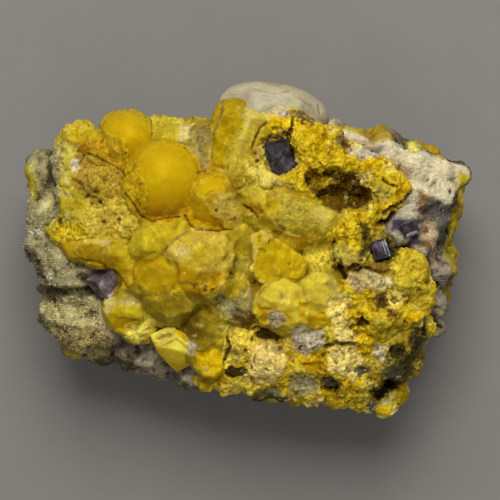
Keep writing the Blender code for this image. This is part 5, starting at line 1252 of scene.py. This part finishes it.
# where each finish of the rock shows, seen from above
rockRegions = [
    ("chalk", [(11.6, 20.4), (13, 21.2), (14, 20.8), (15.2, 20), (17.5, 19.6), (20, 17.8), (22.6, 18.2),
        (23.8, 18.2), (26, 16.5), (29.8, 15.6), (34, 14.6), (38, 13.6), (38, 12), (34.4, 12.9),
        (34.8, 11.4), (34.2, 10.2), (33.8, 8.6), (33.4, 7.2), (31, 8.2), (28.6, 9.6), (26, 10), (22, 12),
        (16, 14.6), (13, 18)]),
    ("rustTan", [(14.2, 18.9), (16.6, 17.9), (17, 17), (15.6, 16.8), (14.6, 17.6)]),
    ("peach", [(16.6, 17.9), (20, 17.5), (22.4, 16.6), (18.6, 16.6), (16.8, 17)], 0.5),
    ("greyBlue", [(17.6, 16.5), (20, 16.8), (22.4, 17), (21, 15.9), (18.5, 15.2), (17.2, 15.4)]),
    ("pinkTan", [(22, 14.4), (24.6, 14.8), (26.8, 12.8), (26.4, 11.2), (24, 11), (22, 12.4)], 0.9),
    ("white", [(26.8, 16.4), (29.4, 16), (29.8, 14.8), (28, 15.2)], 0.5),
    ("white", [(34.4, 14.2), (36.6, 13.6), (38, 12.4), (36.8, 12.2), (35, 13)], 0.4),
    ("white", [(31.8, 9.4), (33.6, 8.8), (33.3, 7.2), (32, 7.6)], 0.5),
    ("lemonOlive", [(13.6, 20.7), (17, 20.7), (19.4, 20.5), (18, 19), (15.4, 19.8)]),
    ("amber", [(18.4, 20.7), (22, 20), (23.6, 18.6), (22.4, 17.7), (20.4, 17.6), (18, 19.2)]),
    ("lemonSugar", [(25.6, 16.9), (27, 18.2), (29.6, 17.9), (29.2, 16.3), (27.6, 16.6), (26.6, 15.9)]),
    ("goldOlive", [(29.6, 17.4), (31.4, 17.2), (33.6, 15), (31.6, 15.1), (30.3, 15.2), (30, 16.2)]),
    ("oliveLemon", [(34.5, 12.7), (35.8, 12.5), (38, 12), (37.4, 11), (35.6, 9.8), (34.4, 9.8),
        (33.9, 10.6)]),
    ("rust", [(34, 10.4), (35.4, 9.8), (36, 8.6), (34.4, 8.4)], 0.5),
    ("ash", [(20.4, 5.7), (23.2, 7.4), (25, 8.6), (26.6, 10), (27.8, 8.8), (28.2, 6.6), (28.2, 5.2),
        (26.2, 4.9), (23.6, 5), (22, 4.4), (20.6, 4.6)]),
    ("paleAsh", [(22.4, 3.9), (24.2, 1.3), (25.6, 0.9), (26.3, 2.6), (24.6, 3.2), (23.4, 4.6), (22, 4.8)]),
    ("rustTan", [(27.8, 9.6), (29.5, 9), (29.2, 7.4), (29.2, 6), (28.1, 5.4), (27.9, 7.4)], 0.4),
    ("slate", [(29, 8.4), (33.4, 7.2), (33.4, 3.6), (32.2, 0.4), (31, -0.6), (30.8, 4.6), (28.6, 5.4)]),
    ("blackViolet", [(24.3, 5.1), (26.4, 4.8), (28.2, 5.2), (27, 3.6), (25.6, 2.6), (24.4, 3.2)], 0.4),
    ("violet", [(23.1, 3), (24.5, 3.5), (24.6, 5), (23.3, 5)], 0.35),
    ("violet", [(26.2, 3), (27.7, 2.3), (27.4, 0.9), (26.1, 1.5)], 0.35),
    ("peach", [(27.2, 4), (28.8, 5), (30.5, 4.4), (30.7, 3), (30.6, 0), (29.9, -0.4), (29.4, 1.4),
        (28.2, 1.5), (27.3, 2.6)]),
    ("paleAsh", [(24.6, 0.4), (27, 0.8), (29.2, 0), (28.8, -1.5), (25, -1.2)]),
    ("violet", [(25.4, 0.9), (26.6, 0.9), (26.4, -0.3), (25.4, -0.2)], 0.4),
    ("tanStrip", [(29.8, 0), (30.8, 1), (32.2, 0.5), (33.2, -2), (33, -6), (32.8, -10), (32.8, -13.4),
        (29.4, -13.8), (29.2, -9.8), (30, -7), (30.4, -4), (29.6, -2)]),
    ("greyViolet", [(29.2, -1.8), (30.5, -3.4), (30, -5.4), (28.9, -5.2)]),
    ("redBrown", [(29.8, -10.4), (30.9, -10.8), (31.2, -13.4), (29.9, -13.4)], 0.4),
    ("cream", [(31.2, -10.4), (32.2, -10.4), (32.5, -12.6), (31.6, -12)], 0.35),
    ("cream", [(29.6, -13.7), (31.8, -13.7), (30.6, -14.8)], 0.4),
    ("darkOliveRock", [(28.2, -15), (30, -14.6), (31.6, -14.8), (30, -17.4), (28, -20), (26.8, -18.6)]),
    ("oliveGlass", [(33.1, 4.4), (34.6, 1.8), (35, 0), (34.6, -2), (35.4, -4), (34.2, -6.4), (33.2, -3),
        (32.2, -1), (32.2, 0.8)]),
    ("darkOliveRock", [(34, 9.8), (36.4, 8.6), (36, 6.2), (34.2, 4.8), (33.4, 6.6)]),
    ("sugar", [(-38, 18), (-34, 18.4), (-31.6, 17.4), (-31, 12), (-31.8, 9), (-33, 8.2), (-38, 8)]),
    ("sugar", [(-38, 8.4), (-32.6, 9), (-32.2, 6), (-31.8, 2), (-30.4, -0.6), (-27, -3), (-25.6, -5),
        (-26, -6.4), (-33.6, -6.4), (-34.6, -3), (-38, 2)]),
    # these two moss-coloured hollows are partly painted shade
    ("mossSugar", [(-34, 17), (-31.4, 17.2), (-31, 12), (-32, 9.4), (-33, 12), (-32.8, 14.6)]),
    ("mossSugar", [(-35, 12.2), (-32.8, 12), (-32.4, 10), (-34, 9.6)], 0.7),
    ("mauve", [(-35.4, 9.8), (-33, 9.8), (-33.2, 8.4), (-35.4, 8.4)], 0.5),
    ("white", [(-36.6, 3.6), (-35.2, 3.8), (-34.2, 4.2), (-34.4, 2.8), (-36.4, 2.2)], 0.5),
    ("cream", [(-34.6, 8.4), (-32.8, 8.8), (-32.9, 7), (-34.4, 6.2)], 0.6),
    ("lemonOlive", [(-38, 14), (-36.4, 14.2), (-35.6, 12.5), (-35, 8.8), (-36, 8), (-38, 10)], 0.5),
    ("darkRock", [(-37.6, 0.2), (-35.4, -0.2), (-34.4, -3), (-33.8, -5.4), (-36, -4), (-37.6, -3)]),
    ("mauve", [(-37, -4.4), (-34.4, -5.2), (-33, -7), (-33.6, -9.4), (-36, -10), (-37.8, -8)]),
    ("mossSugar", [(-33.6, -6.3), (-28, -6), (-25.6, -6), (-24.6, -8), (-28, -7.8), (-33.2, -8)], 0.4),
    ("paleSugar", [(-35.2, -9), (-33, -8.4), (-30, -7.9), (-26, -7.7), (-24, -9.6), (-23, -11.4),
        (-22.8, -14.6), (-25, -13.4), (-27, -12.8), (-30, -12.6), (-34, -11.8)]),
    ("pinkTan", [(-25, -10.8), (-23.2, -11.8), (-22.4, -15.2), (-25, -14)], 0.6),
    ("darkSpeckle", [(-33.4, -12.2), (-26, -12.8), (-22.8, -15), (-23.4, -17.8), (-28, -18.4), (-32, -17)]),
    ("mauveBrown", [(-23.4, -14.6), (-20, -14.4), (-17, -14.4), (-14.6, -17), (-13, -19.6), (-16, -20),
        (-20, -19.4), (-22.6, -17.8)]),
    ("ash", [(-17.8, -17.2), (-16, -16.8), (-15.4, -18.9), (-17.6, -19.4), (-19, -18.6)]),
    ("lemonOlive", [(-31.6, -16.8), (-28.4, -17.4), (-28.4, -19.4), (-30.4, -19.6)]),
    ("darkOliveRock", [(-26.4, -18), (-22, -17.8), (-18, -19.4), (-20, -20.6), (-24.6, -20.4)]),
    ("ash", [(-11.8, -20.8), (-9, -19.2), (-8.2, -22), (-10, -23.2)]),
    ("slate", [(-14.4, -20.2), (-12, -20.6), (-11.4, -22.4), (-14, -22)]),
    # painted shade in the gap under the front crust, over both entries
    ("hollowBrown", [(-4.6, -11), (1, -11.6), (6.6, -11.6), (8.6, -14.4), (6, -17.4), (0, -17.4),
        (-4.4, -15.4)], 0.6),
    ("hollowBrown", [(-6, -16.4), (0, -16.4), (1, -20), (0, -22.4), (-5, -22)], 0.6),
]


def nearLobes(points, lobes, reach):
    return (np.linalg.norm(points[:, None] - lobes[None, :, :3], axis=2) - lobes[None, :, 3]).min(1) < reach


def growRock(shape):
    bm = nodeMesh("host_rock")
    addLobes(bm, shape["lumps"] + shape["knobs"])
    obj = newPiece("hostRock", bm, rockFinish)
    fuse(obj, shape["voxel"])
    knobs = np.array(shape["knobs"])
    scatterCrumbs(obj, shape["knobCount"], shape["crumbs"], (), shape["crumbSeed"],
                  lambda at: nearLobes(at, knobs, shape["crumbReach"]))
    fuse(obj, shape["voxel"])
    normals = readNormals(obj)
    points = averaged(readPoints(obj), readEdges(obj), shape["smoothing"])
    pressHollows(points, crystalHollows)
    for size, height, seed in shape["waves"]:
        points += normals * (waves(points, size, seed) * height)[:, None]
    writePoints(obj, points)
    points = readPoints(obj)
    finish = plainFinish(points, "rock")
    for cloud in shape["clouds"]:
        finish = cloudTone(finish, points, *cloud)
    # only the upper side carries the patches that are seen from above
    top = ramp(normals[:, 2], *shape["upward"])[:, None]
    painted = finish.copy()
    paintRegions(painted, points + warpOf(points, shape["wander"], shape["regionSeed"]), rockRegions)
    paintSpots(painted, ragged(points, *shape["ragged"], shape["regionSeed"] + 1), shape["dots"])
    finish = finish * (1 - top) + painted * top
    finishSurface(obj, finish, shape["seed"], shape["seams"], shape["coarse"])
    points = readPoints(obj)
    points[points[:, 2] < shape["sawn"], 2] = 0.0
    writePoints(obj, points)
    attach(obj, "root")
    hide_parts("host_rock")
    print("hostRock", len(obj.data.polygons), "faces")
    return obj


print("rock")
rock = growRock(hostRock)

# grains on the sugary parts
druse = {
    "seed": 77,
    "count": 3200,
    "size": (0.12, 0.28),
    "taper": 0.35,
    "length": 1.3,
    "lean": 0.6,
    "lighter": (0.9, 1.25),  # each grain against the rock it stands on
    "palest": 0.9,
    "places": [(-32.5, 3.0, 23.0, 9.5), (-28.0, -11.0, 21.0, 8.0)],
}


def sprinkleGrains(shape, rock, material):
    points, normals = readPoints(rock), readNormals(rock)
    dice = random.Random(shape["seed"])
    near = np.zeros(len(points), bool)
    for x, y, z, radius in shape["places"]:
        near |= np.linalg.norm(points - [x, y, z], axis=1) < radius
    near &= normals[:, 2] > 0.0
    chosen = np.flatnonzero(near)
    spots = []

    def addGrain(part, _):
        i = chosen[dice.randrange(len(chosen))]
        spots.append(i)
        size = dice.uniform(*shape["size"]) * mm
        way = Vector(normals[i].tolist())
        way += Vector([dice.uniform(-shape["lean"], shape["lean"]) for _ in range(3)])
        spin = Matrix.Rotation(dice.uniform(0, 6.28), 4, "Z")
        stand = way.to_track_quat("Z", "Y").to_matrix().to_4x4()
        place = Matrix.Translation(Vector(points[i].tolist()) * mm) @ stand @ spin
        bmesh.ops.create_cone(part, cap_ends=True, segments=5, radius1=size, radius2=shape["taper"] * size,
                              depth=shape["length"] * size, matrix=place)

    bm = bmesh.new()
    addMany(bm, range(shape["count"]), addGrain)
    obj = newPiece("druseGrains", bm, material, smooth=False)
    ground = readArray(rock.data.attributes["tone"].data, "color", 4)
    luck = np.array([dice.uniform(*shape["lighter"]) for _ in spots], np.float32)[:, None]
    shade = np.repeat(ground[spots] * luck, len(obj.data.vertices) // len(spots), 0)
    storeField(obj, "tone", "FLOAT_COLOR", "color", shade.clip(0, shape["palest"]))
    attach(obj, "root")


def grainMaterial():
    # tiny crystals the colour of what they grow on: flat faces that catch the light one by one
    material, tree, shader = startMaterial(
        "drusy crystal grains", {"Roughness": 0.6, "IOR": 1.6, "Specular IOR Level": 0.3})
    tone = addNode(tree, "Attribute", {"attribute_name": "tone"}).outputs["Color"]
    place = addNode(tree, "TexCoord").outputs["Object"]
    cloudy = addNode(tree, "TexNoise", {"Scale": 1 / (0.5 * mm), "Detail": 2.0}, {"Vector": place})
    value = addNode(tree, "MapRange", {"From Min": 0.3, "From Max": 0.7, "To Min": 0.8, "To Max": 1.2},
                    {"Value": cloudy.outputs["Fac"]}).outputs[0]
    colour = addNode(tree, "HueSaturation", {}, {"Color": tone, "Value": value}).outputs[0]
    tree.links.new(colour, shader.inputs["Base Color"])
    return material


print("grains")
sprinkleGrains(druse, rock, grainMaterial())

# fluorite crystals: middle, sides and tilt of each cube
fluorites = {
    "fluorite_cube_dark": [((4.9, 16.6, 29.0), (3.9, 3.9, 4.2), (16.0, -12.0, 12.0)),
                           ((5.9, 14.2, 29.2), (3.6, 3.6, 4.0), (10.0, -18.0, 48.0))],
    "fluorite_cube_left": [((-24.0, -5.4, 27.0), (3.7, 3.7, 3.8), (24.0, 20.0, 42.0))],
    "fluorite_cube_right": [((20.9, -0.2, 28.6), (2.7, 3.6, 3.8), (-12.0, 18.0, 14.0)),
                            ((22.6, -0.5, 28.2), (2.6, 2.4, 3.0), (14.0, -10.0, 40.0))],
    "fluorite_cube_edge": [((26.0, 3.6, 28.9), (2.9, 2.4, 2.6), (10.0, 12.0, 20.0))],
}
# stepped growth faces, sunk one in the other, and the worn edge
fluoriteSteps = {"seed": 50, "share": 0.6, "count": 2, "width": (0.25, 0.5), "depth": 0.16, "edge": 0.07}
# the palest stop of each ramp is partly painted sheen
fluoriteDepths = {
    "purple fluorite crystal": ((0.32, "151216"), (0.5, "29242c"), (0.6, "443c48"), (0.72, "7c747e")),
    "weathered fluorite crystal": ((0.3, "3a3238"), (0.45, "574c55"), (0.58, "776a72"), (0.72, "a4989c")),
}


def fluoriteMaterial(name):
    # glassy dark crystal with purple depths and pale zones 1.6 mm wide, partly growth zones and partly
    # painted sheen; the scratches are drawn 0.35 mm wide, coarser than real ones, so that they show
    material, tree, shader = startMaterial(name, {"IOR": 1.434, "Coat Weight": 0.3, "Coat Roughness": 0.08})
    place = addNode(tree, "TexCoord").outputs["Object"]
    zones = addNode(tree, "TexNoise", {"Scale": 1 / (1.6 * mm), "Detail": 4.0, "Roughness": 0.6},
                    {"Vector": place}).outputs["Fac"]
    colours = addNode(tree, "ValToRGB", {}, {"Fac": zones})
    stops = fluoriteDepths[name]
    while len(colours.color_ramp.elements) < len(stops):
        colours.color_ramp.elements.new(0.5)
    for element, (at, code) in zip(colours.color_ramp.elements, stops):
        element.position = at
        element.color = (*linear(code), 1)
    tree.links.new(colours.outputs["Color"], shader.inputs["Base Color"])
    scratch = addNode(tree, "TexNoise", {"Scale": 1 / (0.35 * mm), "Detail": 3.0},
                      {"Vector": place}).outputs["Fac"]
    gloss = addNode(tree, "MapRange", {"From Min": 0.35, "From Max": 0.7, "To Min": 0.12, "To Max": 0.5},
                    {"Value": scratch}).outputs[0]
    tree.links.new(gloss, shader.inputs["Roughness"])
    bump = addNode(tree, "Bump", {"Distance": 0.12 * mm, "Strength": 0.5}, {"Height": scratch}).outputs[0]
    tree.links.new(bump, shader.inputs["Normal"])
    return material


def turned(centre, tilt):
    turn = Euler([math.radians(angle) for angle in tilt]).to_matrix().to_4x4()
    return Matrix.Translation(Vector(centre) * mm) @ turn


def growFluorite(node, cubes, steps, material, seed):
    dice = random.Random(seed)
    name = "fluorite" + node.removeprefix("fluorite_cube_").title()
    parts = []
    for centre, size, tilt in cubes:
        bm = bmesh.new()
        bmesh.ops.create_cube(bm, size=1.0, matrix=Matrix.Diagonal([side * mm for side in size] + [1]))
        top = [face for face in bm.faces
               if face.normal.z > 0.5 or abs(face.normal.z) < 0.5 and dice.random() < steps["share"]]
        for _ in range(steps["count"]):
            bmesh.ops.inset_individual(bm, faces=top, thickness=dice.uniform(*steps["width"]) * mm,
                                       depth=-steps["depth"] * mm)
        bmesh.ops.bevel(bm, geom=bm.edges[:], offset=steps["edge"] * mm, segments=1, profile=0.5,
                        affect="EDGES", material=-1)
        bmesh.ops.transform(bm, verts=bm.verts, matrix=turned(centre, tilt))
        parts.append(newPiece(name if not parts else name + "Twin", bm, material, smooth=False))
    whole = parts[0]
    for other in parts[1:]:
        join = whole.modifiers.new("join", "BOOLEAN")
        join.operation = "UNION"
        join.solver = "EXACT"
        join.object = other
        applyModifiers(whole)
        bpy.data.objects.remove(other)
    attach(whole, "root")
    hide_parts(node)


print("fluorite")
darkFluorite, paleFluorite = [fluoriteMaterial(name) for name in fluoriteDepths]
for number, (node, cubes) in enumerate(fluorites.items()):
    stone = paleFluorite if node == "fluorite_cube_left" else darkFluorite
    growFluorite(node, cubes, fluoriteSteps, stone, fluoriteSteps["seed"] + number)

# the pale calcite lens on the back edge
lens = {
    "centre": (3.9, 23.0, 25.0),
    "radii": (9.2, 4.7, 4.6),
    "tilt": (-24.0, 6.0, -10.0),
    "coarse": 0.12,
    "cloud": ("lensShade", 4.0, 90, (0.0, 0.45), 0.8),
    "seed": 92,
    "facets": [((4.0, 23.4, 14.0), [(4.0, 24.0, 28.5, -0.03, -0.1), (9.6, 24.0, 27.9, -0.35, -0.05),
                                    (-1.4, 25.4, 28.0, 0.3, 0.0), (4.0, 26.6, 27.8, 0.0, -0.7)])],
    "seams": [
        ([(8.4, 25.0), (9.2, 24.2), (10.2, 23.8)], 0.22, 0.1, "lensShade"),
        ([(11.2, 23.9), (11.5, 22.3)], 0.22, 0.1, "lensShade"),
        ([(1.0, 26.5), (4.0, 25.6), (6.5, 26.2)], 0.2, 0.05, "lensShade"),
    ],
}
# calcite worn smooth: pale, a little see-through and evenly coloured
calciteFinish = surfaceMaterial(
    "white calcite",
    {"Subsurface Weight": 0.3, "Subsurface Radius": (1.0, 0.9, 0.7), "Subsurface Scale": 1.2 * mm,
     "IOR": 1.6},
    {"creviceShadeColour": "7d7358", "crevice": 0.6, "edgeColour": "e6e0c8", "edge": 0.2,
     "betweenShadeColour": "b8ae94", "between": 0.2, "grains": 0.3, "paler": (1.15, 1.15, 1.15), "specks": 0.0,
     "mottle": 0.1, "grainSize": 0.5, "bump": 0.1, "roughness": (0.7, 0.4)})


def growLens(shape):
    bm = bmesh.new()
    scale = Matrix.Diagonal([radius * mm for radius in shape["radii"]] + [1])
    place = turned(shape["centre"], shape["tilt"]) @ scale
    bmesh.ops.create_icosphere(bm, subdivisions=6, radius=1.0, matrix=place)
    obj = newPiece("calciteLens", bm, calciteFinish)
    points = readPoints(obj)
    cutFacets(points, shape["facets"])
    writePoints(obj, points)
    finish = cloudTone(plainFinish(points, "lens"), points, *shape["cloud"])
    finishSurface(obj, finish, shape["seed"], shape["seams"], shape["coarse"])
    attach(obj, "root")
    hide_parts("calcite_lens")


print("lens")
growLens(lens)

# floor, lights, camera, in metres
studio = {
    "floor": 1.5,
    "paper": ("7d7c7a", "838280"),
    "fibre": 9,  # in mm
    "sky": ("e8e8ec", 0.27),
    "softboxes": [
        ("keyFromBack", (-0.01, 0.34, 0.52), (0.34, 0.42), 3.88, "fffaf2"),
        ("fillFromFront", (0.04, -0.36, 0.42), (0.5, 0.4), 0.4, "fff6e8"),
    ],
    "aim": (0, 0, 0.02),
    "camera": (0, 0, 0.485),
    "focal": 200,
    "sensor": 36,
}


def makeFloor(shape):
    bm = bmesh.new()
    bmesh.ops.create_grid(bm, x_segments=1, y_segments=1, size=shape["floor"])
    # even and without gloss, with faint clouds in its fibre
    floorFinish, tree, shader = startMaterial("matt grey paper", {"Roughness": 0.9})
    place = addNode(tree, "TexCoord").outputs["Object"]
    fibre = addNode(tree, "TexNoise", {"Scale": 1 / (shape["fibre"] * mm), "Detail": 2.0},
                    {"Vector": place}).outputs["Fac"]
    dark, light = [(*linear(code), 1) for code in shape["paper"]]
    shade = addNode(tree, "Mix", {"data_type": "RGBA", 6: dark, 7: light}, {0: fibre}).outputs[2]
    tree.links.new(shade, shader.inputs["Base Color"])
    newPiece("floor", bm, floorFinish, smooth=False)


def addSoftbox(aim, name, place, size, power, colour):
    light = bpy.data.lights.new(name, "AREA")
    light.shape = "RECTANGLE"
    light.size, light.size_y = size
    light.energy = power
    light.color = linear(colour)
    obj = bpy.data.objects.new(name, light)
    obj.location = place
    obj.rotation_euler = (Vector(aim) - Vector(place)).to_track_quat("-Z", "Y").to_euler()
    bpy.context.scene.collection.objects.link(obj)


def makeStudio(shape):
    scene = bpy.context.scene
    scene.view_settings.view_transform = "Standard"
    world = bpy.data.worlds.new("studio")
    world.use_nodes = True
    sky = world.node_tree.nodes["Background"]
    sky.inputs["Color"].default_value = (*linear(shape["sky"][0]), 1)
    sky.inputs["Strength"].default_value = shape["sky"][1]
    scene.world = world
    for softbox in shape["softboxes"]:
        addSoftbox(shape["aim"], *softbox)
    camera = bpy.data.cameras.new("camera")
    camera.lens = shape["focal"]
    camera.sensor_width = shape["sensor"]
    camera.clip_start, camera.clip_end = 0.01, 10
    holder = bpy.data.objects.new("camera", camera)
    holder.location = shape["camera"]
    scene.collection.objects.link(holder)
    scene.camera = holder


print("studio")
makeFloor(studio)
makeStudio(studio)
